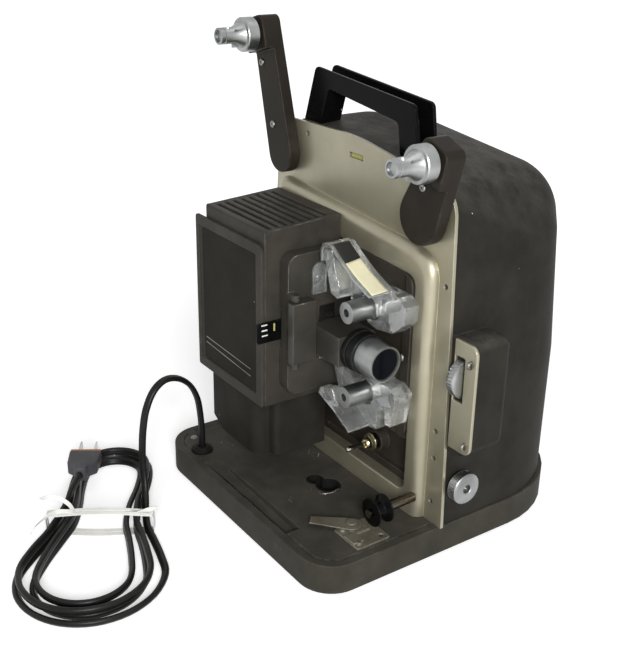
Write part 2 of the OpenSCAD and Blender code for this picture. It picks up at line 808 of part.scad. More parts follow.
module framing_wheel() {
    color("silver") placed() translate([wheel_x - wheel_w / 2, wheel_y, wheel_z]) rotate([0, 90, 0])
        difference() {
            union() {
                linear_extrude(wheel_w) polygon(ribbed(wheel_r, rim_ribs));
                translate([0, 0, wheel_w / 2 - rib_d]) cylinder(h = 2 * rib_d, r = wheel_r);
            }
            translate([0, 0, -cut]) cylinder(h = wheel_w + 2 * cut, r = wheel_pin_r + run_fit);
        }
}

module tilt_knob() {
    color("silver") placed() difference() {
        union() {
            slab_x(knob_x, knob_x + knob_w - cut)
                translate([knob_y, knob_z]) polygon(ribbed(knob_r, rim_ribs));
            rod_x(knob_y, knob_z, knob_x + knob_w - cut, knob_x + knob_w, knob_r - 2 * rib_d, knob_r - cut - 2 * rib_d);
        }
        rod_x(knob_y, knob_z, knob_x + knob_w - knob_bore_d, knob_x + knob_w + cut, knob_bore_r);
        rod_x(knob_y, knob_z, knob_x - cut, knob_x + knob_w / 2, tilt_shaft_r);
    }
}

module tilt_shaft() {
    color("silver") placed() {
        rod_x(knob_y, knob_z, tilt_shaft_rear_x, knob_x + knob_w / 2, tilt_shaft_r);
        translate([rack_x - rack_w / 2, knob_y, knob_z]) rotate([90, 0, 90]) linear_extrude(rack_w) union() {
            circle(r = rack_pitch_r - tooth_h / 2);
            for (i = [0 : rack_teeth - 1]) rotate([0, 0, i * 360 / rack_teeth])
                polygon([[0, -rack_pitch_r / 6], [rack_pitch_r + tooth_h / 2, -rack_pitch_r / 12],
                    [rack_pitch_r + tooth_h / 2, rack_pitch_r / 12], [0, rack_pitch_r / 6]]);
        }
    }
}

module tilt_leg() {
    pitch = 2 * PI * rack_pitch_r / rack_teeth;
    back = knob_y + rack_pitch_r + tooth_h / 2 + small_gap;
    color("#9a9a9a") placed() {
        block([rack_x - leg_s / 2, back, small_gap], [rack_x + leg_s / 2, back + leg_s - tooth_h, knob_z + leg_l / 2]);
        for (i = [-5 : 4]) translate([0, 0, knob_z + (i + 0.5) * pitch])
            slab_x(rack_x - leg_s / 2, rack_x + leg_s / 2)
            polygon([[back, -pitch / 5], [back, pitch / 5], [back - tooth_h, pitch / 12], [back - tooth_h, -pitch / 12]]);
    }
}

module mechanism_plate() {
    color("#3a342c") placed() difference() {
        union() {
            slab_y(panel_y - rib_h, panel_back_y) intersection() {
                field_shape(small_gap, field_low_z);
                translate([field_front_x - rib_w, 0]) square([rib_w, field_rear_top_z]);
            }
            slab_y(field_y, panel_back_y) field_shape(small_gap, field_low_z);
            slab_y(panel_back_y, field_back_y) field_shape(-cut, field_low_z - rib_w / 3);
            for (x = bearing_xs) block([x, panel_back_y, lens_z - bearing_h], [x + bearing_w, drive_y + bearing_h, lens_z + bearing_h]);
            for (z = [upper_z, lower_z]) rod_y(sprocket_x, z, panel_back_y, drive_y - wheel_half - small_gap, bearing_h);
            for (z = [upper_z, lower_z]) rod_y(sprocket_x, z, panel_y - boss_l, panel_back_y, bearing_h);
            for (p = concat(about(upper_z, upper_peg_shares), about(lower_z, lower_peg_shares)))
                rod_y(p.x, p.y, block_in_y, panel_back_y, screw_r);
        }
        rod_x(drive_y, lens_z, main_rear_x * 2, field_front_x * 2, main_shaft_r + run_fit);
        for (z = [upper_z, lower_z]) rod_y(sprocket_x, z, 2 * panel_y, 0, sprocket_shaft_r + run_fit);
        block([shutter_x - 2 * shutter_t, 2 * panel_y, lens_z - shutter_r - cut],
            [shutter_x + 3 * shutter_t, 0, lens_z + shutter_r + cut]);
    }
}
module switch_panel() {
    color("#2f2c28") placed() difference() {
        union() {
            slab_y(panel_back_y + 3 * plate_t, panel_back_y + 4 * plate_t)
                polygon(box_pts(field_rear_x, base_h + small_gap, field_front_x + rib_w / 2, field_low_z - rib_w / 2));
            block([field_rear_x, panel_back_y + plate_t, ledge_z], [field_front_x + rib_w / 2, panel_back_y + 3 * plate_t, ledge_z + ledge_h]);
            block([field_rear_x, panel_back_y, window_low_z - ledge_h * 2 - small_gap], [field_front_x + rib_w / 2, panel_back_y + 3 * plate_t, window_low_z - ledge_h]);
            rod_y(toggle_x, toggle_z, panel_back_y, panel_back_y + 3 * plate_t, toggle_r * 3 / 2);
        }
        rod_y(toggle_x, toggle_z, 2 * panel_y, 0, toggle_r - cut);
    }
}
module toggle_body() {
    color("#c9b06a") placed() difference() {
        union() {
            rod_y(toggle_x, toggle_z, panel_y - pin_r, panel_back_y, toggle_r * 1.15, toggle_r * 1.15);
            rod_y(toggle_x, toggle_z, panel_y - 3 * pin_r, panel_back_y + 5 * plate_t, toggle_r - cut - run_fit);
            block([toggle_x - toggle_r, panel_back_y + 4 * plate_t, toggle_z - toggle_r * 2],
                [toggle_x + toggle_r, panel_back_y + 10 * plate_t, toggle_z + toggle_r * 2]);
        }
        rod_y(toggle_x, toggle_z, 2 * panel_y, panel_back_y, toggle_r - 2 * cut);
    }
}

module toggle_bat() {
    color("silver") placed() {
        translate([toggle_x, panel_y, toggle_z]) sphere(r = bat_r * 1.5);
        rod_y(toggle_x, toggle_z, panel_y - bat_l, panel_y, bat_r, bat_r);
        translate([toggle_x, panel_y - bat_l, toggle_z]) sphere(r = bat_tip_r);
    }
}

module lamphouse_cover() {
    color("#403e3a") placed() difference() {
        slab_x(lamphouse_rear_x, lamphouse_front_x)
            polygon(rounded([[panel_y - small_gap, lamphouse_low_z], [panel_y - small_gap, lamphouse_top_z],
                [lamphouse_y, lamphouse_top_z - lamphouse_slope], [lamphouse_y, lamphouse_low_z]], [0, 0, pin_r, 0]));
        slab_x(lamphouse_rear_x + lamphouse_wall, lamphouse_front_x - lamphouse_wall)
            polygon([[0, lamphouse_low_z + lamphouse_wall], [0, lamphouse_top_z - lamphouse_wall - lamphouse_slope],
                [lamphouse_y + lamphouse_wall, lamphouse_top_z - lamphouse_wall - lamphouse_slope],
                [lamphouse_y + lamphouse_wall, lamphouse_low_z + lamphouse_wall]]);
        for (i = [0 : vent_slots - 1])
            block([lamphouse_rear_x + vent_end, lamphouse_y + vent_start + i * top_vent_pitch, lamphouse_top_z - 3 * lamphouse_slope],
                [lamphouse_front_x - vent_end, lamphouse_y + vent_start + i * top_vent_pitch + vent_w, lamphouse_top_z + cut]);
        block([lamphouse_front_x - 2 * lamphouse_wall, lens_y - lamp_r, lens_z - lamp_r],
            [lamphouse_front_x + cut, lens_y + lamp_r, lens_z + lamp_r]);
    }
}
module lamp_panel() {
    r = lamp_panel_r;
    color("#383633") placed() difference() {
        slab_y(lamphouse_y - lamp_panel_t, lamphouse_y)
            polygon(rounded(box_pts(lamp_panel_rear_x, lamphouse_low_z, lamphouse_front_x + small_gap, lamp_panel_top_z),
                [pin_r, pin_r, r, pin_r]));
        slab_y(lamphouse_y - lamp_panel_t - cut, lamphouse_y - lamp_panel_t / 2)
            polygon(rounded(box_pts(lamp_panel_rear_x + lamp_frame_w / 3, lamphouse_low_z + lamp_frame_w,
                lamphouse_front_x - lamp_frame_w, lamp_panel_top_z - lamp_frame_w), [pin_r, pin_r, pin_r, pin_r]));
    }
}

module film_box_rear() {
    color("#42403b") placed() difference() {
        intersection() {
            slab_z(film_box_low_z, lamphouse_low_z - small_gap) polygon(rounded(
                box_pts(film_box_rear_x, film_box_y, film_box_mid_x, panel_y - small_gap), [pin_r, film_box_r, 0, 0]));
            slab_y(film_box_y - cut, 0) polygon(rounded([[film_box_rear_x - cut, lamphouse_low_z],
                [film_box_rear_x - cut, film_box_low_z + film_box_r], [film_box_rear_x + 2 * film_box_r, film_box_low_z],
                [0, film_box_low_z], [0, lamphouse_low_z]], [0, film_box_r, film_box_r, 0, 0]));
        }
        block([film_box_rear_x + film_box_wall, film_box_y + film_box_wall, film_box_low_z + 2 * film_box_wall],
            [film_box_mid_x - film_box_wall, 0, lamphouse_low_z - film_box_wall]);
    }
}

module film_box_front() {
    color("#42403b") placed() difference() {
        slab_z(film_box_low_z, lamphouse_low_z - small_gap) polygon(rounded(
            box_pts(film_box_mid_x, film_box_front_y, film_box_front_x, panel_y - small_gap), [0, film_box_r / 2, 0, 0]));
        block([film_box_mid_x + film_box_wall, film_box_front_y + film_box_wall, film_box_low_z + film_box_wall],
            [film_box_front_x - film_box_wall, 0, lamphouse_low_z - film_box_wall]);
    }
}

module mode_tab() {
    color("#111111") placed() slab_x(lamphouse_front_x + small_gap * 2, lamphouse_front_x + small_gap * 2 + mode_t)
        polygon(rounded([[mode_rear_y, mode_low_z], [mode_rear_y + mode_w, mode_low_z],
            [mode_rear_y + mode_w, mode_low_z + mode_h], [mode_rear_y, mode_low_z + mode_h]],
            [pin_r, pin_r, pin_r, pin_r], 3));
}

module gate_housing() {
    color("#403c36") placed() difference() {
        union() {
            slab_x(lamphouse_front_x + small_gap, gate_front_x)
                polygon(rounded(box_pts(gate_y, gate_low_z, field_y, gate_high_z),
                    [gate_r, 0, 0, gate_r]));
            for (z = [door_low_z - ear_h - small_gap, door_high_z + small_gap]) {
                block([gate_front_x - cut, hinge_y - hinge_r / 2, z], [hinge_x, hinge_y + hinge_r / 2, z + ear_h]);
                rod_z(hinge_x, hinge_y, z, z + ear_h, hinge_r / 2);
            }
            rod_z(hinge_x, hinge_y, door_low_z - ear_h, door_high_z + ear_h, hinge_pin_r);
        }
        block([lamphouse_front_x - cut, lens_y - aperture_w, lens_z - aperture_h],
            [gate_front_x + cut, lens_y + aperture_w, lens_z + aperture_h]);
        block([lamphouse_front_x - cut, mode_rear_y - cut, mode_low_z - mode_travel],
            [lamphouse_front_x + mode_t + 3 * small_gap, mode_rear_y + mode_w + small_gap * 2, mode_low_z + mode_h + mode_travel]);
    }
}
module gate_door() {
    color("#46423b") placed() difference() {
        union() {
            rod_z(hinge_x, hinge_y, door_low_z, door_high_z, hinge_r);
            block([hinge_x, hinge_y - hinge_r, door_low_z], [hinge_x + hinge_r, door_y, door_high_z]);
            block([hinge_x - hinge_r, hinge_y, door_low_z], [hinge_x, door_y, door_high_z]);
        }
        rod_z(hinge_x, hinge_y, door_low_z - cut, door_high_z + cut, hinge_pin_r + run_fit);
    }
}

module lens_carrier() {
    color("#3f3b35") placed() difference() {
        slab_x(carrier_rear_x, carrier_front_x)
            polygon(rounded([[door_y, carrier_low_z], [carrier_in_y, carrier_low_z],
                [carrier_in_y, carrier_high_z], [door_y, carrier_high_z]],
                [0, field_r / 2, field_r / 2, 0], 3));
        rod_x(lens_y, lens_z, carrier_rear_x - cut, carrier_front_x + cut, barrel_tail_r + run_fit);
    }
}

module lens_clamp() {
    color("#141414") placed() difference() {
        union() {
            rod_x(lens_y, lens_z, carrier_front_x, carrier_front_x + clamp_l, clamp_r);
            rod_x(lens_y, lens_z, carrier_front_x + clamp_l - cut, carrier_front_x + clamp_l, clamp_r - cut);
        }
        rod_x(lens_y, lens_z, carrier_front_x - cut, carrier_front_x + clamp_l + cut, barrel_tail_r + run_fit);
    }
}

module lens_barrel() {
    rib_x = barrel_back_x + barrel_rib_start;
    color("#b9bcc0") placed() difference() {
        union() {
            rod_x(lens_y, lens_z, barrel_back_x, rib_x, lens_r);
            slab_x(rib_x, rib_x + barrel_rib_l)
                translate([lens_y, lens_z]) polygon(ribbed(lens_r, barrel_ribs));
            rod_x(lens_y, lens_z, rib_x + barrel_rib_l, barrel_front_x - cut, lens_r);
            rod_x(lens_y, lens_z, barrel_front_x - cut, barrel_front_x, lens_r, lens_r - cut / 2);
            rod_x(lens_y, lens_z, barrel_tail_rear_x, barrel_back_x, barrel_tail_r);
        }
        rod_x(lens_y, lens_z, barrel_front_x - barrel_rim, barrel_front_x + cut, lens_glass_r);
        rod_x(lens_y, lens_z, barrel_back_x + barrel_rim * 3, barrel_front_x - barrel_rim, lens_glass_r);
        rod_x(lens_y, lens_z, barrel_tail_rear_x - cut, barrel_front_x, barrel_tail_r - barrel_rim);
    }
}

module lens_front_glass() {
    color([0.08, 0.09, 0.12, 0.6]) placed() difference() {
        rod_x(lens_y, lens_z, barrel_front_x - barrel_rim - glass_t, barrel_front_x - barrel_rim, lens_glass_r);
        translate([barrel_front_x - barrel_rim - glass_t - lens_glass_r * 3, lens_y, lens_z])
            sphere(r = lens_glass_r * 3 + cut, $fn = 96);
    }
}

module lens_rear_glass() {
    color([0.3, 0.33, 0.38, 0.6]) placed()
        rod_x(lens_y, lens_z, barrel_tail_rear_x + cut, barrel_tail_rear_x + cut + glass_t, barrel_tail_r - barrel_rim);
}

module aperture_plate() {
    color("#c8cacc") placed() difference() {
        slab_x(gate_front_x, gate_front_x + gate_plate_t)
            polygon(box_pts(lens_y - plate_half_w, lens_z - plate_half_h, lens_y + plate_half_w, lens_z + plate_half_h));
        block([0, lens_y - aperture_w / 2, lens_z - aperture_h / 2], [carrier_rear_x, lens_y + aperture_w / 2, lens_z + aperture_h / 2]);
    }
}

module pressure_plate() {
    color("#b4b6b8") placed() difference() {
        slab_x(gate_front_x + gate_plate_t + film_gap, carrier_rear_x)
            polygon(box_pts(lens_y - plate_half_w, lens_z - carrier_grip, lens_y + plate_half_w, lens_z + carrier_grip));
        rod_x(lens_y, lens_z, 0, carrier_front_x, aperture_w);
    }
}
module film_tab() {
    mid_y = (tab_rear_y + tab_front_y) / 2;
    half = (tab_front_y - tab_rear_y) / 2;
    color([0.8, 0.82, 0.82, 0.7]) placed() {
        slab_x(tab_x, tab_x + tab_t) union() {
            polygon(box_pts(tab_rear_y, tab_low_z, tab_front_y, tab_high_z - half));
            translate([mid_y, tab_high_z - half]) circle(r = half);
        }
        rod_x(mid_y, (tab_low_z + tab_high_z) / 2, gate_front_x, tab_x, pin_r);
        rod_x(mid_y, (tab_low_z + tab_high_z) / 2, tab_x + tab_t, tab_x + tab_t + screw_head_h, screw_r);
    }
}

module sprocket(z) {
    difference() {
        union() {
            rod_y(sprocket_x, z, sprocket_tip_y, sprocket_back_y, sprocket_r);
            rod_y(sprocket_x, z, sprocket_tip_y, drive_y + wheel_half + cut, sprocket_shaft_r);
            rod_y(sprocket_x, z, drive_y - wheel_half, drive_y + wheel_half, worm_wheel_r);
            for (i = [0 : sprocket_teeth - 1]) translate([sprocket_x, sprocket_back_y - 2 * tooth_w, z])
                rotate([0, i * 360 / sprocket_teeth, 0]) translate([sprocket_r - cut / 2, -tooth_w / 2, -tooth_w / 2])
                cube([cut / 2 + tooth_rise, tooth_w, tooth_w]);
        }
        rod_y(sprocket_x, z, sprocket_tip_y - cut, sprocket_tip_y + sprocket_r, sprocket_bore_r);
        for (a = [0 : 60 : 300]) rod_y(sprocket_x + worm_wheel_r * 2 / 3 * cos(a), z + worm_wheel_r * 2 / 3 * sin(a),
            drive_y - bearing_h, drive_y + bearing_h, worm_wheel_r / 5);
    }
}

module upper_sprocket() { color("#c2c5c9") placed() sprocket(upper_z); }
module lower_sprocket() { color("#c2c5c9") placed() sprocket(lower_z); }

module upper_guide() {
    top = about(upper_z, upper_top_shares);
    color([0.85, 0.87, 0.88, 0.5]) placed() difference() {
        union() {
            slab_y(strip_y, guide_y) polygon(concat(top,
                [for (i = [len(top) - 1 : -1 : 0]) top[i] + [i < 2 ? strip_t : 0, -strip_t]],
                [top[0] + [strip_t, -strip_t * 6], top[0] + [0, -strip_t * 6]]));
            slab_y(guide_y - guide_web_t, guide_y) polygon(concat(top, about(upper_z, upper_web_shares)));
            slab_y(strip_y + 2 * strip_t, guide_y) polygon(about(upper_z, upper_cheek_shares));
        }
        rod_y(sprocket_x, upper_z, strip_y - cut, 0, guide_r);
    }
}

module guide_block() {
    color([0.85, 0.87, 0.88, 0.5]) placed() difference() {
        slab_y(guide_y + small_gap, block_in_y) polygon(about(upper_z, block_shares));
        rod_y(sprocket_x, upper_z, strip_y - cut, 0, guide_r);
    }
}

module lower_guide() {
    color([0.85, 0.87, 0.88, 0.5]) placed() difference() {
        union() {
            slab_y(strip_y, strip_y + 5 * strip_t) polygon(about(lower_z, lower_lip_shares));
            slab_y(guide_y - guide_web_t, block_in_y) polygon(about(lower_z, lower_web_shares));
            slab_y(strip_y, guide_y) polygon(about(lower_z, lower_strip_shares));
        }
        rod_y(sprocket_x, lower_z, strip_y - cut, 0, guide_r);
    }
}

module snubber_shaft() {
    color("#b9bcc0") placed() {
        rod_y(snubber_x, snubber_z, panel_y - snubber_out - cut, panel_back_y, pin_r);
        rod_y(snubber_x, snubber_z, panel_y - snubber_out + snubber_w + small_gap, panel_y, snubber_shaft_r);
        rod_y(snubber_x, snubber_z, panel_y - snubber_out - 2 * cut, panel_y - snubber_out - cut, snubber_shaft_r);
    }
}

module snubber_roller() {
    y0 = panel_y - snubber_out;
    color("#121212") placed() difference() {
        union() {
            rod_y(snubber_x, snubber_z, y0, y0 + snubber_w, snubber_core_r);
            for (y = [y0, y0 + snubber_w - pin_r]) rod_y(snubber_x, snubber_z, y, y + pin_r, snubber_flange_r);
        }
        rod_y(snubber_x, snubber_z, y0 - cut, y0 + snubber_w + cut, pin_r + run_fit);
    }
}

module cutter_base() {
    color("#77736a") placed() difference() {
        union() {
            slab_z(base_h, base_h + cutter_t) polygon(rounded(box_pts(cutter_x - cutter_s / 2, cutter_y - cutter_s / 2,
                cutter_x + cutter_s / 2, cutter_y + cutter_s / 2), [pin_r, pin_r, pin_r, pin_r], 3));
            block([blade_x - cutter_post_r / 2, blade_y - cutter_post_r, base_h + cutter_t],
                [blade_x + cutter_s / 3, blade_y + cutter_s / 3, base_h + 2 * cutter_t]);
            rod_z(blade_x, blade_y, base_h, base_h + 2 * cutter_t + blade_t + 2 * small_gap, pin_r);
            rod_z(blade_x, blade_y, base_h + 2 * cutter_t + blade_t + 2 * small_gap,
                base_h + 3 * cutter_t + blade_t + 2 * small_gap, cutter_post_r);
            for (s = [-1, 1]) rod_z(cutter_x + s * cutter_s / 3, cutter_y - cutter_s / 3, base_h, base_h + 2 * cutter_t, pin_r);
        }
        rod_z(cutter_x + cutter_s / 3, cutter_y + cutter_s / 3, base_h - cut, base_h + 3 * cutter_t, pin_r);
    }
}

module cutter_blade() {
    z = base_h + 2 * cutter_t + small_gap;
    color("#8a867c") placed() translate([blade_x, blade_y, z]) rotate([0, 0, blade_turn]) difference() {
        union() {
            cylinder(h = blade_t, r = blade_w / 2);
            linear_extrude(blade_t) polygon([[0, -blade_w / 2], [blade_l, -blade_w / 3], [blade_l, blade_w / 4], [0, blade_w / 2]]);
        }
        translate([0, 0, -cut]) cylinder(h = blade_t + 2 * cut, r = pin_r + run_fit);
    }
}

module deck_cup() {
    color("#0d0d0d") placed() difference() {
        union() {
            rod_z(cup_x, cup_y, base_h - cup_d, base_h, cup_r - run_fit);
            rod_z(cup_x + cup_lobe_dx, cup_y + cup_lobe_dy, base_h - cup_d, base_h, cup_lobe_r - run_fit);
        }
        rod_z(cup_x, cup_y, base_h - cup_d + cup_wall, base_h + cut, cup_r - run_fit - cup_wall);
        rod_z(cup_x + cup_lobe_dx, cup_y + cup_lobe_dy, base_h - cup_d + cup_wall, base_h + cut, cup_lobe_r - run_fit - cup_wall);
    }
}

// Tapered arm with its pivot at zero and its spindle up the X axis
module arm_shape(l, root_r, head_r) {
    side = acos((root_r - head_r) / l);
    root = arc([0, 0], root_r, side, 360 - side, 24);
    far = l + head_r;
    low = [far, -head_r + head_r / 3 * sin(90 - side)];
    high = [far, -low.y];
    polygon(concat(root, corner_arc(root[24], low, high, arm_corner_r, 5), corner_arc(low, high, root[0], arm_corner_r, 5)));
}

module reel_arm(x, z, lean, l, root_r, head_r) {
    translate([x, 0, z]) rotate([0, lean - 90, 0]) difference() {
        union() {
            slab_y(arm_back_y - arm_t, arm_back_y) arm_shape(l, root_r, head_r);
            slab_y(arm_back_y - arm_head_t, arm_back_y) intersection() {
                arm_shape(l, root_r, head_r);
                translate([l - head_r, -2 * head_r]) square([4 * head_r, 4 * head_r]);
            }
            rod_y(0, 0, arm_back_y, plate_back_y + cut, arm_pin_r);
            rod_y(0, 0, plate_back_y + cut, plate_back_y + 2 * cut, arm_pin_r * 1.4);
        }
        rod_y(l, 0, 2 * panel_y, 0, arm_pin_r + run_fit);
    }
}

module reel_spindle(x, z) {
    translate([x, spindle_back_y, z]) rotate([90, 0, 0]) difference() {
        union() {
            cylinder(h = disc_t, r = spindle_disc_r);
            translate([0, 0, disc_t]) cylinder(h = disc_t * 0.8, r1 = spindle_disc_r - 3 * cut, r2 = spindle_r);
            cylinder(h = spindle_l, r = spindle_r);
            translate([0, 0, -arm_head_t]) cylinder(h = arm_head_t + cut, r = arm_pin_r);
        }
        translate([0, 0, spindle_l - ball_r * 2]) rotate_extrude()
            translate([spindle_r, 0]) circle(r = ball_r / 2, $fn = 16);
    }
}

function tip_x(x, l, lean) = x + l * sin(lean);
function tip_z(z, l, lean) = z + l * cos(lean);

module supply_arm() { color("#3e352e") placed() reel_arm(supply_x, supply_z, supply_lean, supply_arm_l, supply_root_r, arm_head_r); }
module takeup_arm() { color("#3e352e") placed() reel_arm(takeup_x, takeup_z, takeup_lean, takeup_arm_l, takeup_root_r, arm_head_r); }
module supply_spindle() {
    color("#bfc1c6") placed() reel_spindle(tip_x(supply_x, supply_arm_l, supply_lean), tip_z(supply_z, supply_arm_l, supply_lean));
}
module takeup_spindle() {
    color("#bfc1c6") placed() reel_spindle(tip_x(takeup_x, takeup_arm_l, takeup_lean), tip_z(takeup_z, takeup_arm_l, takeup_lean));
}

// Side view of the handle: its outer edge, and the gap for the fingers, drawn in by an inset
module handle_outer(inset) {
    top = plate_top + handle_rise;
    polygon(rounded([[handle_rear_foot_x + inset, handle_rear_foot_z],
        [handle_rear_top_x + inset, top - inset], [handle_front_top_x - inset, top - handle_fall - inset],
        [handle_front_foot_x - inset, handle_front_foot_z], [handle_front_foot_x - handle_leg_w, handle_front_foot_z],
        [handle_rear_foot_x + handle_leg_w, handle_rear_foot_z]], [0, handle_r, handle_r, 0, 0, 0]));
}
module handle_gap(inset) {
    top = plate_top + handle_rise - handle_bar_h;
    polygon(rounded([[handle_rear_foot_x + handle_leg_w - inset, handle_rear_foot_z - handle_bar_h],
        [handle_rear_top_x + handle_leg_w - inset, top + inset],
        [handle_front_top_x - handle_leg_w + inset, top - handle_fall + inset],
        [handle_front_foot_x - handle_leg_w + inset, handle_front_foot_z - handle_bar_h]],
        [0, handle_r, handle_r, 0]));
}
module handle() {
    color("#0c0c0c") placed() difference() {
        slab_y(handle_y0, handle_y0 + handle_w) difference() {
            handle_outer(0);
            handle_gap(0);
        }
        slab_y(handle_y0 + handle_wall, handle_y0 + handle_w - handle_wall) difference() {
            translate([-base_l / 2, handle_rear_foot_z + handle_wall]) square([base_l, base_l]);
            handle_gap(handle_wall);
        }
        for (p = handle_feet) rod_z(p.x, handle_y0 + handle_w / 2, p.y - cut, p.y + 3 * handle_wall, pin_r + run_fit);
    }
}

module handle_screws() {
    color("silver") placed() for (p = handle_feet) {
        rod_z(p.x, handle_y0 + handle_w / 2, p.y - 2 * handle_wall, handle_rear_foot_z + handle_wall, pin_r);
        rod_z(p.x, handle_y0 + handle_w / 2, handle_rear_foot_z + handle_wall, handle_rear_foot_z + handle_wall + screw_head_h, screw_r);
    }
}

module cord_grommet() {
    color("#0d0d0d") placed() difference() {
        union() {
            rod_z(grommet_x, grommet_y, base_h, base_h + pin_r, grommet_r);
            translate([grommet_x, grommet_y, base_h + pin_r]) cylinder(h = grommet_h - pin_r, r1 = grommet_r - cut, r2 = cord_d * 0.8);
            rod_z(grommet_x, grommet_y, base_h - 2 * deck_t, base_h, grommet_bore - run_fit);
        }
        rod_z(grommet_x, grommet_y, base_h - 3 * deck_t, base_h + grommet_h - cut, cord_d / 2);
        rod_z(grommet_x, grommet_y, base_h, base_h + grommet_h + cut, cord_d / 2);
    }
}

// Tube of a given radius swept along points, with flat ends
function across(t) = unit(cross(t, abs(t.z) > 0.9 ? [0, 1, 0] : [0, 0, 1]));
function lean_on(prev, t) = unit(prev - t * (prev * t));
function tangents(p) = [for (i = [0 : len(p) - 1]) unit(p[min(i + 1, len(p) - 1)] - p[max(i - 1, 0)])];
function frames(t, i = 1, acc = []) = i == 1 && len(acc) == 0 ? frames(t, 1, [across(t[0])]) :
    i >= len(t) ? acc : frames(t, i + 1, concat(acc, [lean_on(acc[i - 1], t[i])]));
module tube(p, r, n) {
    t = tangents(p);
    u = frames(t);
    m = len(p);
    pts = [for (i = [0 : m - 1]) for (k = [0 : n - 1])
        p[i] + r * (u[i] * cos(360 * k / n) + cross(t[i], u[i]) * sin(360 * k / n))];
    sides = [for (i = [0 : m - 2]) for (k = [0 : n - 1]) let (a = i * n + k, b = i * n + (k + 1) % n)
        each [[a, b + n, b], [a, a + n, b + n]]];
    ends = concat([for (k = [1 : n - 2]) [0, k, k + 1]],
        [for (k = [1 : n - 2]) [(m - 1) * n, (m - 1) * n + k + 1, (m - 1) * n + k]]);
    polyhedron(points = pts, faces = concat([for (f = sides) [f[2], f[1], f[0]]], [for (f = ends) [f[2], f[1], f[0]]]));
}

module cord_run() { color("#101010") tube(concat(route, [hank_path[0]]), cord_d / 2, 10); }

function hank_place(s, w, z) = [hank_x + s * cos(hank_turn) - w * sin(hank_turn),
    hank_y + s * sin(hank_turn) + w * cos(hank_turn), z];
// Half width of a run between its two ends, drawn in at the waist
function hank_run(s, near, far, l = hank_long) = let (k = (s + l - near) / (2 * l - near - far))
    (near + (far - near) * k) * (1 - hank_waist_share * exp(-pow((s - hank_waist_s) / hank_waist_l, 2)));
function hank_point(t) =
    let (inward = t < hank_half ? t : 2 * hank_half - t, u = t - floor(t), near = hank_near_w - hank_near_pitch * inward,
        far = hank_far_w - hank_far_pitch * inward, l = hank_long - hank_end_pitch * inward, s0 = near - l, s1 = l - far,
        climb = min(max((t - hank_half + run_share) / (2 * run_share), 0), 1), z = hank_z + climb * hank_layer)
    u < run_share ? let (s = s1 * u / run_share) hank_place(s, hank_run(s, near, far, l), z) :
    u < run_share + far_share ? let (a = 90 - 180 * (u - run_share) / far_share)
        hank_place(s1 + far * cos(a), far * sin(a), z) :
    u < 3 * run_share + far_share ? let (s = s1 + (s0 - s1) * (u - run_share - far_share) / (2 * run_share))
        hank_place(s, -hank_run(s, near, far, l), z) :
    u < 1 - run_share ? let (a = -90 - 180 * (u - 3 * run_share - far_share) / near_share)
        hank_place(s0 + near * cos(a), near * sin(a), z) :
    let (s = s0 * (1 - u) / run_share) hank_place(s, hank_run(s, near, far, l), z);
hank_path = concat([for (i = [0 : hank_turns * hank_rings]) hank_point(i / hank_rings)],
    [for (p = tail) hank_place(p.x, p.y, p.z)]);
// Least distance between stretches of the hank that aren't neighbours, less the lead's width
function to_stretch(p, a, b) = norm(p - a - (b - a) * min(max((p - a) * (b - a) / ((b - a) * (b - a)), 0), 1));
hank_gap = min([for (i = [0 : len(hank_path) - 1]) for (j = [i + 3 : 1 : len(hank_path) - 2])
    to_stretch(hank_path[i], hank_path[j], hank_path[j + 1])]) - cord_d;
echo(hank_gap = hank_gap);
function path_l(p) = [for (i = [1 : len(p) - 1]) norm(p[i] - p[i - 1])] * [for (i = [1 : len(p) - 1]) 1];
echo(cord_l = path_l(route) + path_l(hank_path));

module cord_hank() { color("#101010") tube(hank_path, cord_d / 2, 6); }

module cord_tie() {
    half = hank_run(0, hank_near_w, hank_far_w) + cord_d * 3 / 4;
    color("#f2f2f0") translate([hank_x, hank_y, 0]) rotate([0, 0, hank_turn]) difference() {
        block([-tie_w / 2, -half - tie_t, cord_d / 2], [tie_w / 2, half + tie_t, hank_z + hank_layer + cord_d]);
        block([-tie_w, -half, 0], [tie_w, half, hank_z + hank_layer + cord_d - tie_t]);
    }
}

module plug() {
    p = hank_path[len(hank_path) - 1];
    d = unit(p - hank_path[len(hank_path) - 2]);
    color("#3b3a3c") translate(p) rotate([0, 0, atan2(d.y, d.x)]) {
        translate([0, -plug_w / 2, -plug_t / 2]) cube([plug_l, plug_w, plug_t]);
        for (s = [-1, 1]) translate([plug_l, s * plug_w / 4 - tie_t / 2, -tie_w / 2]) cube([plug_l / 2, tie_t, tie_w]);
    }
}

module motor() {
    color("#5a5d60") placed() {
        difference() {
            rod_x(motor_y, motor_z, motor_rear_x, motor_front_x, motor_r);
            rod_x(motor_y, motor_z, motor_rear_x - cut, motor_front_x + cut, motor_shaft_r + run_fit);
        }
        difference() {
            for (x = [motor_rear_x + bearing_w, motor_front_x - 2 * bearing_w])
                block([x, motor_y - motor_r * 2 / 3, base_h], [x + bearing_w, motor_y + motor_r * 2 / 3, motor_z - motor_r / 2]);
            rod_x(motor_y, motor_z, motor_rear_x - cut, motor_front_x + cut, motor_r - cut);
        }
    }
}

module motor_rotor() {
    color("#9c9ea1") placed() {
        rod_x(motor_y, motor_z, fan_x - cut, pulley_x + pulley_w, motor_shaft_r);
        rod_x(motor_y, motor_z, pulley_x, pulley_x + pulley_w, motor_pulley_r);
    }
}

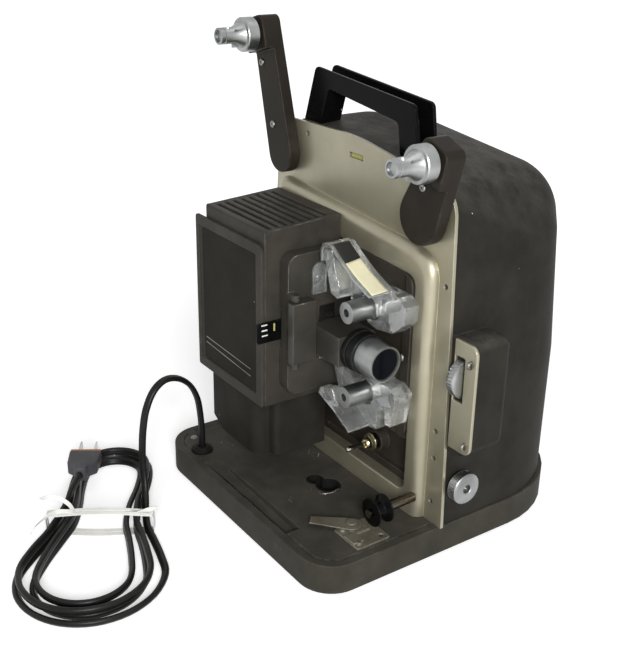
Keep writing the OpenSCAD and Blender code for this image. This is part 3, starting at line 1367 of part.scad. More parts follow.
module fan() {
    color("#303030") placed() difference() {
        union() {
            rod_x(motor_y, motor_z, fan_x, fan_x + fan_w, bearing_h);
            rod_x(motor_y, motor_z, fan_x + fan_w - plate_t, fan_x + fan_w, fan_r);
            for (i = [0 : fan_blades - 1]) translate([fan_x, motor_y, motor_z]) rotate([i * 360 / fan_blades, 0, 0])
                translate([0, bearing_h - cut, 0]) cube([fan_w, fan_r - bearing_h, plate_t / 2]);
        }
        rod_x(motor_y, motor_z, fan_x - cut, fan_x + fan_w + cut, motor_shaft_r);
    }
}

module main_shaft() {
    color("#9c9ea1") placed() {
        rod_x(drive_y, lens_z, main_rear_x, main_front_x, main_shaft_r);
        rod_x(drive_y, lens_z, sprocket_x - bearing_h, sprocket_x + bearing_h, worm_r);
        rod_x(drive_y, lens_z, pulley_x, pulley_x + pulley_w, pulley_r);
    }
}

module shutter() {
    color("#1c1c1c") placed() difference() {
        union() {
            rod_x(drive_y, lens_z, shutter_x, shutter_x + shutter_t, shutter_r);
            rod_x(drive_y, lens_z, shutter_x, shutter_x + bearing_w, bearing_h);
        }
        rod_x(drive_y, lens_z, shutter_x - cut, shutter_x + bearing_w + cut, main_shaft_r);
        for (i = [0 : 2]) translate([shutter_x - cut, drive_y, lens_z]) rotate([i * 120 + 30, 0, 0]) rotate([90, 0, 90])
            linear_extrude(3 * cut) polygon(concat(arc([0, 0], shutter_r * shutter_wing_share, -shutter_wing_a, shutter_wing_a, 8), arc([0, 0], shutter_r + cut, shutter_wing_a, -shutter_wing_a, 8)));
    }
}

// Outline of a belt round two pulleys
function belt_pts(c0, r0, c1, r1) =
    let (d = c1 - c0, a = atan2(d.y, d.x), s = acos((r0 - r1) / norm(d)))
    concat(arc(c0, r0, a + s, a + 360 - s, 32), arc(c1, r1, a - s, a + s, 24));

module drive_belt() {
    hi = [drive_y, lens_z];
    lo = [motor_y, motor_z];
    color("#151515") placed() slab_x(pulley_x + pulley_w / 4, pulley_x + pulley_w * 3 / 4) difference() {
        polygon(belt_pts(hi, pulley_r + small_gap + belt_t, lo, motor_pulley_r + small_gap + belt_t));
        polygon(belt_pts(hi, pulley_r + small_gap, lo, motor_pulley_r + small_gap));
    }
}
module lamp_socket() {
    color("#d8d2c4") placed() {
        block([reflector_x - pin_r, lens_y - reflector_r, shelf_z - shelf_t],
            [lamp_x + lamp_r, field_y, shelf_z]);
        rod_z(lamp_x, lens_y, shelf_z, lamp_low_z, lamp_r);
    }
}

module lamp() {
    color([0.9, 0.9, 0.85, 0.5]) placed() {
        rod_z(lamp_x, lens_y, lamp_low_z, lens_z + lamp_r, lamp_r - cut);
        translate([lamp_x, lens_y, lens_z + lamp_r]) sphere(r = lamp_r - cut);
    }
}

module reflector() {
    deep = lamp_r * 3 / 4;
    color("#d0d0d0") placed() {
        difference() {
            rod_x(lens_y, lens_z, reflector_x, reflector_x + deep, reflector_r / 2, reflector_r);
            rod_x(lens_y, lens_z, reflector_x + pin_r, reflector_x + deep + cut, reflector_r / 2, reflector_r);
        }
        block([reflector_x, lens_y - pin_r, shelf_z], [reflector_x + pin_r, lens_y + pin_r, lens_z - reflector_r / 4]);
    }
}

base_tub();
base_plate();
feet();
main_plate();
rear_cover();
side_bracket();
bracket_screws();
framing_wheel();
tilt_knob();
tilt_shaft();
tilt_leg();
mechanism_plate();
switch_panel();
toggle_body();
toggle_bat();
lamphouse_cover();
lamp_panel();
film_box_rear();
film_box_front();
mode_tab();
gate_housing();
gate_door();
lens_carrier();
lens_clamp();
lens_barrel();
lens_front_glass();
lens_rear_glass();
aperture_plate();
pressure_plate();
film_tab();
upper_sprocket();
upper_guide();
guide_block();
lower_sprocket();
lower_guide();
snubber_shaft();
snubber_roller();
cutter_base();
cutter_blade();
deck_cup();
supply_arm();
supply_spindle();
takeup_arm();
takeup_spindle();
handle();
handle_screws();
cord_grommet();
cord_run();
cord_hank();
cord_tie();
plug();
motor();
motor_rotor();
fan();
main_shaft();
shutter();
drive_belt();
lamp();
lamp_socket();
reflector();
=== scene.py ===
import json
import bmesh
import bpy
from math import atan2, cos, exp, pi, radians, sin
from mathutils import Matrix, Vector


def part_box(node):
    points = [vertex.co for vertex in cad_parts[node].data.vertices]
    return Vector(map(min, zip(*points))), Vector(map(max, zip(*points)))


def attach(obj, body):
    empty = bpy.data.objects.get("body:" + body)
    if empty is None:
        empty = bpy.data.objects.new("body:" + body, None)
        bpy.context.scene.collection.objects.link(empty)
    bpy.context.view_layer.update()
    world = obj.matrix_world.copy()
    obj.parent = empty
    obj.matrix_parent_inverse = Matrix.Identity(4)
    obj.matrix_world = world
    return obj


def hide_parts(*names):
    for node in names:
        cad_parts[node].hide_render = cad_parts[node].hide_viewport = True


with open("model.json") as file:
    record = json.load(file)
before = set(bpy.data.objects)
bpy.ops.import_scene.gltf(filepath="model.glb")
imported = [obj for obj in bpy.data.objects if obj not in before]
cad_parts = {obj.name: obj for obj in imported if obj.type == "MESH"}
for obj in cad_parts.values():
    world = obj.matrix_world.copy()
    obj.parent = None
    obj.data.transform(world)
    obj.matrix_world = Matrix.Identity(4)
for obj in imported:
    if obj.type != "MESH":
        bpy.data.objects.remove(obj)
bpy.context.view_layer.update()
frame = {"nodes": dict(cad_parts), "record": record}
scene = bpy.context.scene
scene.view_settings.view_transform = "Standard"

mm = 0.001
layoutShift = -12.25  # from the layout's x to the frame's
weld = 0.001 * mm  # points closer than this are one
xAxis, yAxis, zAxis = (1, 0, 0), (0, 1, 0), (0, 0, 1)
toFilm = (0, -1, 0)  # out of the side where the film runs
bodyOf = {node: body for body, nodes in frame["record"]["behaviour"]["bodies"].items() for node in nodes}
slotOf = {part["node"]: part["material_slot"] for part in frame["record"]["subparts"]}


def at(x, y, z):
    return Vector((x + layoutShift, y, z)) * mm


def srgb(r, g, b):
    shares = [c / 255 for c in (r, g, b)]
    return tuple(c / 12.92 if c < 0.04045 else ((c + 0.055) / 1.055) ** 2.4 for c in shares) + (1,)


# camera, solved from the base's edges in the photo
view = {"place": (590.03, -474.46, 460.40), "right": (0.56824, 0.82269, 0.01675),
        "up": (-0.33288, 0.21121, 0.91901), "back": (0.75252, -0.52779, 0.39388), "lens": 56.254, "reach": 20}
camera = bpy.data.objects.new("camera", bpy.data.cameras.new("camera"))
camera.data.lens = view["lens"]
camera.data.clip_end = view["reach"]
turn = Matrix((view["right"], view["up"], view["back"])).transposed().to_4x4()
camera.matrix_world = Matrix.Translation(at(*view["place"])) @ turn
scene.collection.objects.link(camera)
scene.camera = camera
print("camera placed")


# shader groups, shared by the materials
def setInputs(tree, node, values):
    for key, value in values.items():
        if isinstance(value, bpy.types.NodeSocket):
            tree.links.new(value, node.inputs[key])
        else:
            node.inputs[key].default_value = value
    return node


def wire(tree, kind, values=None, **settings):
    node = tree.nodes.new("ShaderNode" + kind)
    for key, value in settings.items():
        setattr(node, key, value)
    return setInputs(tree, node, values or {})


def startGroup(name, inputs, outputs):
    tree = bpy.data.node_groups.new(name, "ShaderNodeTree")
    for label, value in inputs.items():
        kind = "NodeSocketFloat" if isinstance(value, float) else "NodeSocketVector"
        socket = tree.interface.new_socket(label, in_out="INPUT", socket_type=kind)
        if value is not None:
            socket.default_value = value
    for label in outputs:
        kind = "NodeSocketVector" if label == "Normal" else "NodeSocketFloat"
        tree.interface.new_socket(label, in_out="OUTPUT", socket_type=kind)
    return tree, tree.nodes.new("NodeGroupInput").outputs, tree.nodes.new("NodeGroupOutput")


def useGroup(tree, group, values):
    return wire(tree, "Group", values, node_tree=group).outputs


def mathNode(tree, operation, a, b=0.0, clamp=False):
    return wire(tree, "Math", {0: a, 1: b}, operation=operation, use_clamp=clamp).outputs[0]


def vectorMath(tree, operation, a, b, out):
    return wire(tree, "VectorMath", {0: a, 1: b}, operation=operation).outputs[out]


def mixColour(tree, factor, a, b):
    return wire(tree, "Mix", {0: factor, 6: a, 7: b}, data_type="RGBA").outputs[2]


def noise(tree, place, scale, detail, rough=0.5):
    values = {"Vector": place, "Scale": scale, "Detail": detail, "Roughness": rough}
    return wire(tree, "TexNoise", values).outputs[0]


def spread(tree, value, low=0.0, high=1.0, start=0.0, end=1.0, **settings):
    return wire(tree, "MapRange", {0: value, 1: low, 2: high, 3: start, 4: end}, **settings).outputs[0]


# broad and fine blotches, 0 to 1
mottle, given, result = startGroup("mottle", {"Vector": None, "Size": 0.03}, ["Broad", "Fine"])
blotchLook = {"fineness": 11.0, "detail": 4.0, "rough": 0.6, "Broad": (0.36, 0.64), "Fine": (0.3, 0.7)}
scales = {"Broad": mathNode(mottle, "DIVIDE", 1.0, given["Size"])}
scales["Fine"] = mathNode(mottle, "MULTIPLY", scales["Broad"], blotchLook["fineness"])
for label, scale in scales.items():
    cloud = noise(mottle, given["Vector"], scale, blotchLook["detail"], blotchLook["rough"])
    setInputs(mottle, result, {label: spread(mottle, cloud, *blotchLook[label])})

# rubbed edges, part real wear and part painted highlight, found by the difference between the rounded and the
# real normal
edgeWearAndHighlight, given, result = startGroup("edge wear and painted highlight", {"Vector": None, "Radius": 0.0006, "Amount": 1.0},
                                     ["Mask", "Normal"])
rounded = wire(edgeWearAndHighlight, "Bevel", {"Radius": given["Radius"]}, samples=4).outputs[0]
real = wire(edgeWearAndHighlight, "NewGeometry").outputs["Normal"]
same = vectorMath(edgeWearAndHighlight, "DOT_PRODUCT", rounded, real, "Value")
worn = noise(edgeWearAndHighlight, given["Vector"], scale=90.0, detail=5.0, rough=0.7)
both = mathNode(edgeWearAndHighlight, "MULTIPLY", spread(edgeWearAndHighlight, same, low=0.995, high=0.9),
                spread(edgeWearAndHighlight, worn, low=0.4, high=0.62))
mask = mathNode(edgeWearAndHighlight, "MULTIPLY", both, given["Amount"], clamp=True)
setInputs(edgeWearAndHighlight, result, {"Mask": mask, "Normal": rounded})

# pale dust on what faces up
dust, given, result = startGroup("dust", {"Vector": None, "Amount": 0.2}, ["Mask"])
real = wire(dust, "NewGeometry").outputs["Normal"]
upward = wire(dust, "SeparateXYZ", {0: real}).outputs["Z"]
cloud = noise(dust, given["Vector"], scale=45.0, detail=6.0, rough=0.7)
both = mathNode(dust, "MULTIPLY", spread(dust, upward, low=0.35), spread(dust, cloud, low=0.35, high=0.7))
setInputs(dust, result, {"Mask": mathNode(dust, "MULTIPLY", both, given["Amount"], clamp=True)})

# a few small light specks
specks, given, result = startGroup("specks", {"Vector": None, "Spacing": 0.004, "Share": 0.1, "Size": 0.12},
                                   ["Mask"])
fine = mathNode(specks, "DIVIDE", 1.0, given["Spacing"])
cells = wire(specks, "TexVoronoi", {"Vector": given["Vector"], "Scale": fine}).outputs
near = mathNode(specks, "LESS_THAN", cells["Distance"], given["Size"])
pick = wire(specks, "SeparateColor", {0: cells["Color"]}).outputs[0]
chosen = mathNode(specks, "LESS_THAN", pick, given["Share"])
setInputs(specks, result, {"Mask": mathNode(specks, "MULTIPLY", near, chosen)})

# height of wrinkled enamel, in metres
wrinkle, given, result = startGroup("wrinkle", {"Vector": None, "Size": 0.0012, "Height": 0.00004},
                                    ["Height"])
wrinkleLook = {"smoothness": 0.6, "cloudScale": 2.1, "cloudDetail": 3.0, "cloudShare": 0.7}
fine = mathNode(wrinkle, "DIVIDE", 1.0, given["Size"])
cellular = {"Vector": given["Vector"], "Scale": fine, "Smoothness": wrinkleLook["smoothness"]}
ridges = wire(wrinkle, "TexVoronoi", cellular, feature="SMOOTH_F1").outputs["Distance"]
cloudScale = mathNode(wrinkle, "MULTIPLY", fine, wrinkleLook["cloudScale"])
cloud = noise(wrinkle, given["Vector"], cloudScale, wrinkleLook["cloudDetail"])
both = mathNode(wrinkle, "ADD", ridges, mathNode(wrinkle, "MULTIPLY", cloud, wrinkleLook["cloudShare"]))
setInputs(wrinkle, result, {"Height": mathNode(wrinkle, "MULTIPLY", both, given["Height"])})

# fine straight scratches, few and broken
scratch, given, result = startGroup("scratches", {"Vector": None, "Angle": 0.6, "Share": 0.5}, ["Mask"])
scratchLook = {"stretch": (9.0, 420.0, 420.0), "middle": 0.5, "thin": 0.0035}
leaning = wire(scratch, "VectorRotate", {"Vector": given["Vector"], "Angle": given["Angle"]},
               rotation_type="AXIS_ANGLE").outputs[0]
drawn = wire(scratch, "Mapping", {"Vector": leaning, "Scale": scratchLook["stretch"]}).outputs[0]
lines = noise(scratch, drawn, scale=1.0, detail=2.0)
middle = mathNode(scratch, "ABSOLUTE", mathNode(scratch, "SUBTRACT", lines, scratchLook["middle"]))
thin = mathNode(scratch, "LESS_THAN", middle, scratchLook["thin"])
where = noise(scratch, given["Vector"], scale=38.0, detail=3.0)
few = mathNode(scratch, "GREATER_THAN", where, mathNode(scratch, "SUBTRACT", 1.0, given["Share"]))
setInputs(scratch, result, {"Mask": mathNode(scratch, "MULTIPLY", thin, few)})

# turning marks round an axis
lathe, given, result = startGroup("lathe", {"Vector": None, "Centre": (0, 0, 0), "Axis": zAxis,
                                            "Pitch": 0.0004}, ["Ring"])
away = vectorMath(lathe, "SUBTRACT", given["Vector"], given["Centre"], "Vector")
along = vectorMath(lathe, "DOT_PRODUCT", away, given["Axis"], "Value")
onAxis = wire(lathe, "VectorMath", {0: given["Axis"], 3: along}, operation="SCALE").outputs[0]
reach = mathNode(lathe, "ADD", along, vectorMath(lathe, "DISTANCE", away, onAxis, "Value"))
ring = wire(lathe, "TexNoise", {"W": mathNode(lathe, "DIVIDE", reach, given["Pitch"]), "Scale": 1.0,
                                "Detail": 2.0}, noise_dimensions="1D").outputs[0]
setInputs(lathe, result, {"Ring": ring})
print("shader groups made")


# materials
def startMaterial(name):
    material = bpy.data.materials.new(name)
    material.use_nodes = True
    tree = material.node_tree
    return material, tree, tree.nodes["Principled BSDF"], wire(tree, "TexCoord").outputs["Object"]


def uneven(tree, fine, rough, less=0.02, more=0.03):
    return spread(tree, fine, start=rough - less, end=rough + more)


def bumped(tree, height, **rounded):
    return wire(tree, "Bump", {"Height": height, "Strength": 1.0, "Distance": 1.0, **rounded}).outputs[0]


usual = {"blotch": 0.03, "speckle": 0.25, "grain": 0.0012, "height": 0.00003, "worn": 0, "edge": 0.0007,
         "dust": 0, "dustColour": (150, 147, 138), "specks": 0, "speckSpacing": 0.0045, "speckSize": 0.1,
         "speckColour": (196, 192, 182), "scratches": 0, "scratchAngle": 0.7, "metallic": 0.0,
         "scratchColour": (150, 148, 140), "sheen": 0.3, "coat": 0.0, "coatRough": 0.25}


def paint(name, **own):
    look = {**usual, **own}
    material, tree, shader, place = startMaterial(name)
    blotch = useGroup(tree, mottle, {"Vector": place, "Size": look["blotch"]})
    grainy = mathNode(tree, "MULTIPLY", blotch["Fine"], look["speckle"])
    colour = mixColour(tree, blotch["Broad"], srgb(*look["dark"]), srgb(*look["light"]))
    colour = mixColour(tree, grainy, colour, srgb(*look["light"]))
    rounded = {}
    if look["worn"]:
        edge = useGroup(tree, edgeWearAndHighlight, {"Vector": place, "Radius": look["edge"], "Amount": look["worn"]})
        # edges mixed toward the bare colour: part real wear, part painted highlight along the edges
        colour = mixColour(tree, edge["Mask"], colour, srgb(*look["bare"]))
        rounded = {"Normal": edge["Normal"]}
    if look["dust"]:
        grey = useGroup(tree, dust, {"Vector": place, "Amount": look["dust"]})
        colour = mixColour(tree, grey["Mask"], colour, srgb(*look["dustColour"]))
    if look["specks"]:
        spot = useGroup(tree, specks, {"Vector": place, "Spacing": look["speckSpacing"],
                                       "Share": look["specks"], "Size": look["speckSize"]})
        colour = mixColour(tree, spot["Mask"], colour, srgb(*look["speckColour"]))
    if look["scratches"]:
        line = useGroup(tree, scratch, {"Vector": place, "Angle": look["scratchAngle"],
                                        "Share": look["scratches"]})
        colour = mixColour(tree, line["Mask"], colour, srgb(*look["scratchColour"]))
    wrinkled = useGroup(tree, wrinkle, {"Vector": place, "Size": look["grain"], "Height": look["height"]})
    setInputs(tree, shader, {"Base Color": colour, "Roughness": uneven(tree, blotch["Fine"], look["rough"]),
                             "Metallic": look["metallic"], "Specular IOR Level": look["sheen"],
                             "Coat Weight": look["coat"], "Coat Roughness": look["coatRough"],
                             "Normal": bumped(tree, wrinkled[0], **rounded)})
    return material


def metal(name, look, centre=(0, 0, 0), axis=zAxis):
    look = {"blotch": 0.025, "pitch": 0.0004, "rings": 0.3, "height": 0.000004, **look}
    material, tree, shader, place = startMaterial(name)
    blotch = useGroup(tree, mottle, {"Vector": place, "Size": look["blotch"]})
    marks = useGroup(tree, lathe, {"Vector": place, "Centre": centre, "Axis": axis, "Pitch": look["pitch"]})
    colour = mixColour(tree, blotch["Broad"], srgb(*look["dark"]), srgb(*look["light"]))
    colour = mixColour(tree, mathNode(tree, "MULTIPLY", marks[0], look["rings"]), colour, srgb(*look["dark"]))
    setInputs(tree, shader, {"Base Color": colour, "Roughness": uneven(tree, blotch["Fine"], look["rough"]),
                             "Normal": bumped(tree, mathNode(tree, "MULTIPLY", marks[0], look["height"]))})
    shader.inputs["Metallic"].default_value = 1.0
    return material


def clear(name, **own):
    look = {"rough": 0.0, "rougher": 0.05, "blotch": 0.006, "height": 0.0, "coat": 0.0, "coatIor": 1.9, **own}
    material, tree, shader, place = startMaterial(name)
    blotch = useGroup(tree, mottle, {"Vector": place, "Size": look["blotch"]})
    colour = mixColour(tree, blotch["Broad"], srgb(*look["dark"]), srgb(*look["light"]))
    waves = mathNode(tree, "MULTIPLY", blotch["Broad"], look["height"])
    setInputs(tree, shader, {"Base Color": colour, "IOR": look["ior"], "Normal": bumped(tree, waves),
                             "Roughness": uneven(tree, blotch["Fine"], look["rough"], 0, look["rougher"]),
                             "Coat Weight": look["coat"], "Coat IOR": look["coatIor"]})
    shader.inputs["Transmission Weight"].default_value = look.get("through", 1.0)
    return material


even = {"grain": 0.004, "height": 0.000001}  # sprayed smooth
printed = {"grain": 0.003, "height": 0.000004}
basePaint = paint("base enamel", dark=(50, 48, 43), light=(62, 59, 53), bare=(140, 137, 128), rough=0.55,
                  worn=0.5, dust=0.06, specks=0.03, scratches=0.33, grain=0.0011, height=0.00005, sheen=0.05)
housingPaint = paint("housing enamel", dark=(36, 34, 31), light=(46, 44, 40), bare=(120, 117, 108), rough=0.5,
                     worn=0.4, dust=0.2, specks=0.01, height=0.00004, sheen=0.03)
# a lighter copy of the housing enamel: painted light on the lamphouse's sides
lampPaintLit = paint("lamphouse enamel painted lighter", dark=(47, 45, 41), light=(59, 56, 51), bare=(150, 147, 138), rough=0.45,
                  worn=0.7, dust=0.05, specks=0.02, grain=0.0011, height=0.00004, sheen=0.06)
recessPaint = paint("panel recess", dark=(30, 29, 26), light=(38, 36, 32), bare=(90, 88, 80), rough=0.5,
                    worn=0.3, specks=0.02, grain=0.0011, height=0.00004, sheen=0.03)
khakiPaint = paint("khaki enamel", dark=(142, 137, 117), light=(156, 151, 131), bare=(222, 218, 205),
                   rough=0.43, worn=0.45, dust=0.03, specks=0.008, speckle=0.05, metallic=0.72, coat=0.4,
                   coatRough=0.2, blotch=0.07, **even)
armPaint = paint("arm enamel", dark=(33, 30, 25), light=(40, 36, 31), bare=(150, 144, 132), rough=0.3,
                 speckle=0.05, worn=0.6, edge=0.0009, specks=0.01, sheen=0.06, **even)
mechanismPaint = paint("mechanism enamel", dark=(42, 38, 33), light=(50, 46, 40), bare=(122, 116, 106),
                       rough=0.36, worn=0.5, dust=0.03, specks=0.02, speckle=0.05, sheen=0.15, **even)
gatePaint = paint("gate enamel", dark=(47, 45, 40), light=(58, 55, 50), bare=(160, 155, 144), rough=0.3,
                  worn=0.65, specks=0.02, speckle=0.05, sheen=0.25, **even)
blackPlastic = paint("black plastic", dark=(7, 7, 7), light=(13, 13, 13), bare=(80, 80, 78), rough=0.25,
                     worn=0.3, specks=0.01, sheen=0.05, **printed)
blackMetal = paint("black oxide", dark=(12, 12, 12), light=(22, 21, 20), bare=(110, 108, 102), rough=0.35,
                   worn=0.4, grain=0.002, height=0.000006, sheen=0.1)
blackRubber = paint("black rubber", dark=(12, 12, 11), light=(22, 21, 20), rough=0.6, dust=0.05, grain=0.001,
                    height=0.00002, sheen=0.05)
dullSteel = paint("dull plate", dark=(76, 72, 62), light=(104, 100, 88), bare=(176, 172, 158), rough=0.36,
                  worn=0.8, specks=0.05, grain=0.0016, height=0.00001, sheen=0.4, coat=0.2)
# the lens front as opaque near-black glass: its low reflection is real, its darkness is painted shade for the
# dark inside of the lens
lensShadeBlack = paint("lens front", dark=(8, 9, 13), light=(14, 16, 22), rough=0.08, sheen=0.08, **even)
cordSkin = paint("cord sheath", dark=(12, 12, 12), light=(24, 24, 23), rough=0.34, dust=0.05, specks=0.01,
                 grain=0.0018, height=0.00002, sheen=0.14)
plugPlastic = paint("plug grey", dark=(58, 58, 62), light=(74, 74, 78), bare=(120, 120, 122), rough=0.45,
                    worn=0.3, dust=0.1, grain=0.0015, height=0.00001, sheen=0.1)
plugFace = paint("plug face", dark=(150, 92, 52), light=(178, 116, 70), bare=(196, 150, 110), rough=0.5,
                 worn=0.2, grain=0.002, height=0.00001)
tiePaper = paint("tie paper", dark=(222, 221, 216), light=(240, 239, 235), rough=0.7, grain=0.0009, sheen=0.2)
labelBlack = paint("label black", dark=(22, 22, 22), light=(34, 33, 32), rough=0.4, **printed)
labelPale = paint("label pale", dark=(208, 202, 168), light=(224, 219, 188), rough=0.5, **printed)
markWhite = paint("mark white", dark=(196, 196, 190), light=(214, 214, 208), rough=0.5, **printed)
darkInside = paint("dark inside", dark=(14, 14, 14), light=(24, 24, 23), rough=0.7, sheen=0.1, height=0.00001)
ceramicBody = paint("ceramic", dark=(206, 200, 186), light=(224, 219, 206), rough=0.5, height=0.00001)
slotYellow = paint("slot backing", dark=(150, 150, 86), light=(176, 174, 106), rough=0.6, height=0.00001)

turned = {"dark": (130, 132, 131), "light": (164, 166, 165), "rough": 0.36, "height": 0.000002, "rings": 0.4}
screwSteel = metal("screw steel", {"dark": (160, 158, 154), "light": (214, 212, 208), "rough": 0.2,
                                   "height": 0.000001, "rings": 0.15})
sheetSteel = metal("sheet steel", {"dark": (112, 110, 106), "light": (140, 138, 132), "rough": 0.34,
                                   "height": 0.000002})
goldPlate = metal("yellow plating", {"dark": (176, 166, 136), "light": (216, 208, 182), "rough": 0.24,
                                     "rings": 0.2})
chromeBall = metal("chrome", {"dark": (190, 190, 192), "light": (226, 226, 228), "rough": 0.12, "rings": 0.0})
clearAcrylic = clear("clear acrylic", dark=(214, 220, 216), light=(255, 255, 255), ior=1.42, through=0.91,
                     height=0.00022, coat=1.0)
lensGlass = clear("lens glass", dark=(150, 160, 190), light=(176, 186, 210), ior=1.55)
bulbGlass = clear("bulb glass", dark=(236, 238, 236), light=(248, 249, 248), ior=1.45)
print("materials made")


# building helpers
def clean(bm, dist=weld):
    bmesh.ops.remove_doubles(bm, verts=bm.verts, dist=dist)
    bmesh.ops.recalc_face_normals(bm, faces=bm.faces)


def addPiece(name, bm, material, node=None, body=None, slot=None, bevel=0.0, crease=32, steps=2):
    clean(bm)
    mesh = bpy.data.meshes.new(name)
    bm.to_mesh(mesh)
    bm.free()
    mesh.materials.append(material)
    mesh.shade_smooth()
    if not bevel:
        mesh.set_sharp_from_angle(angle=radians(crease))
    piece = bpy.data.objects.new(name, mesh)
    scene.collection.objects.link(piece)
    if bevel:
        rim = piece.modifiers.new("edges", "BEVEL")
        rim.width = bevel * mm
        rim.segments = steps
        rim.limit_method = "ANGLE"
        rim.angle_limit = radians(crease)
        rim.use_clamp_overlap = False
        rim.miter_outer = "MITER_ARC"
        piece.modifiers.new("normals", "WEIGHTED_NORMAL").keep_sharp = False
    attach(piece, body or bodyOf.get(node, "root"))
    if node:
        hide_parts(node)
    return piece


nodeCopy = {"weld": 0.02 * mm, "flat": 0.6}  # flat: degrees between faces that become one


def copyOf(node, plain=False):
    bm = bmesh.new()
    bm.from_mesh(frame["nodes"][node].data)
    bm.transform(frame["nodes"][node].matrix_world)
    bmesh.ops.remove_doubles(bm, verts=bm.verts, dist=nodeCopy["weld"])
    bmesh.ops.dissolve_degenerate(bm, dist=nodeCopy["weld"], edges=bm.edges)
    if not plain:
        bmesh.ops.dissolve_limit(bm, angle_limit=radians(nodeCopy["flat"]), verts=bm.verts, edges=bm.edges,
                                 use_dissolve_boundaries=False)
    return bm


def skin(node, material, bevel=0.0, steps=2, plain=False):
    return addPiece(node + "_skin", copyOf(node, plain), material, node, bevel=bevel, steps=steps)


def looseBoxes(node):
    bm = copyOf(node)
    left = set(bm.verts)
    boxes = []
    while left:
        found = {left.pop()}
        border = list(found)
        while border:
            for vert in [v for edge in border.pop().link_edges for v in edge.verts if v in left]:
                left.discard(vert)
                found.add(vert)
                border.append(vert)
        spots = [vert.co for vert in found]
        boxes.append(tuple(Vector(end(c[i] for c in spots) for i in range(3)) for end in (min, max)))
    bm.free()
    return sorted(boxes, key=lambda box: tuple(box[0]))


def turnTo(centre, axis):
    return Matrix.Translation(centre) @ Vector(axis).to_track_quat("Z", "Y").to_matrix().to_4x4()


def addBox(bm, low, high):
    middle = (Vector(low) + Vector(high)) / 2
    size = Vector(high) - Vector(low)
    bmesh.ops.create_cube(bm, size=1, matrix=Matrix.Translation(middle) @ Matrix.Diagonal((*size, 1)))


def boxPiece(name, boxes, material, place=None, **where):
    bm = bmesh.new()
    for low, high in boxes:
        addBox(bm, low, high)
    if place:
        bm.transform(place)
    return addPiece(name, bm, material, **where)


def addRod(bm, radius, long, place, segments, caps=True):
    bmesh.ops.create_cone(bm, cap_ends=caps, segments=segments, radius1=radius * mm, radius2=radius * mm,
                          depth=long * mm, matrix=place)


def addPrism(bm, outline, direction):
    face = bm.faces.new([bm.verts.new(p) for p in outline])
    made = bmesh.ops.extrude_face_region(bm, geom=[face])["geom"]
    bmesh.ops.translate(bm, verts=[g for g in made if isinstance(g, bmesh.types.BMVert)], vec=direction)


def spunPart(profile, steps, closed=False):
    bm = bmesh.new()
    points = [bm.verts.new((r * mm, 0, h * mm)) for r, h in profile]
    follow = points[1:] + (points[:1] if closed else [])
    edges = [bm.edges.new(pair) for pair in zip(points, follow)]
    bmesh.ops.spin(bm, geom=points + edges, cent=(0, 0, 0), axis=zAxis, angle=2 * pi, steps=steps,
                   use_merge=True)
    clean(bm)
    return bm


knurl = {"flat": 0.3, "gap": 0.08}


def sinkBand(bm, low, high, least, depth):
    band = []
    for face in bm.faces:
        middle = face.calc_center_median()
        outside = low * mm < middle.z < high * mm and middle.xy.length > least * mm
        if outside and abs(face.normal.z) < knurl["flat"]:
            band.append((atan2(middle.y, middle.x), face))
    every = [face for a, face in sorted(band, key=lambda pair: pair[0])][::2]  # straight knurling
    bmesh.ops.inset_individual(bm, faces=every, thickness=knurl["gap"] * mm, depth=-depth * mm)


def spunPiece(name, profile, centre, axis, material, node=None, steps=72, band=None, **where):
    bm = spunPart(profile, steps, closed=profile[0][0] > 0)
    if band:
        sinkBand(bm, *band)
    bm.transform(turnTo(centre, axis))
    return addPiece(name, bm, material, node, **where)


def smoothPath(points, steps):
    out = []
    for i in range(len(points) - 1):
        a, b, c, d = points[max(i - 1, 0)], points[i], points[i + 1], points[min(i + 2, len(points) - 1)]
        for k in range(steps):
            t = k / steps
            bend = (2 * a - 5 * b + 4 * c - d) * t ** 2 + (3 * b - a - 3 * c + d) * t ** 3
            out.append(0.5 * (2 * b + (c - a) * t + bend))
    return out + [points[-1]]


def strip(halfWide, halfThick):
    signs = ((-1, -1), (1, -1), (1, 1), (-1, 1))
    return [(u * halfWide * mm, v * halfThick * mm) for u, v in signs]


def sweep(bm, path, section, side=None, up=zAxis, twist=0.0):
    rings = []
    for i, point in enumerate(path):
        ahead = (path[min(i + 1, len(path) - 1)] - path[max(i - 1, 0)]).normalized()
        side = side or ahead.cross(Vector(up)).normalized()
        side = (side - ahead * side.dot(ahead)).normalized()  # turns as little as the path allows
        top = side.cross(ahead).normalized()
        turnBy = twist * i / (len(path) - 1)
        across = side * cos(turnBy) + top * sin(turnBy)
        over = top * cos(turnBy) - side * sin(turnBy)
        rings.append([bm.verts.new(point + across * u + over * v) for u, v in section])
    for a, b in zip(rings, rings[1:]):
        for i in range(len(section)):
            j = (i + 1) % len(section)
            bm.faces.new((a[i], a[j], b[j], b[i]))
    bm.faces.new(list(reversed(rings[0])))
    bm.faces.new(rings[-1])


# dome: shares of radius and rise
screwLook = {"dome": [(1, 0), (1, 0.35), (0.93, 0.7), (0.78, 0.95), (0.66, 1)], "arm": 0.55, "half": 0.13,
             "deep": 0.6, "steps": 32}


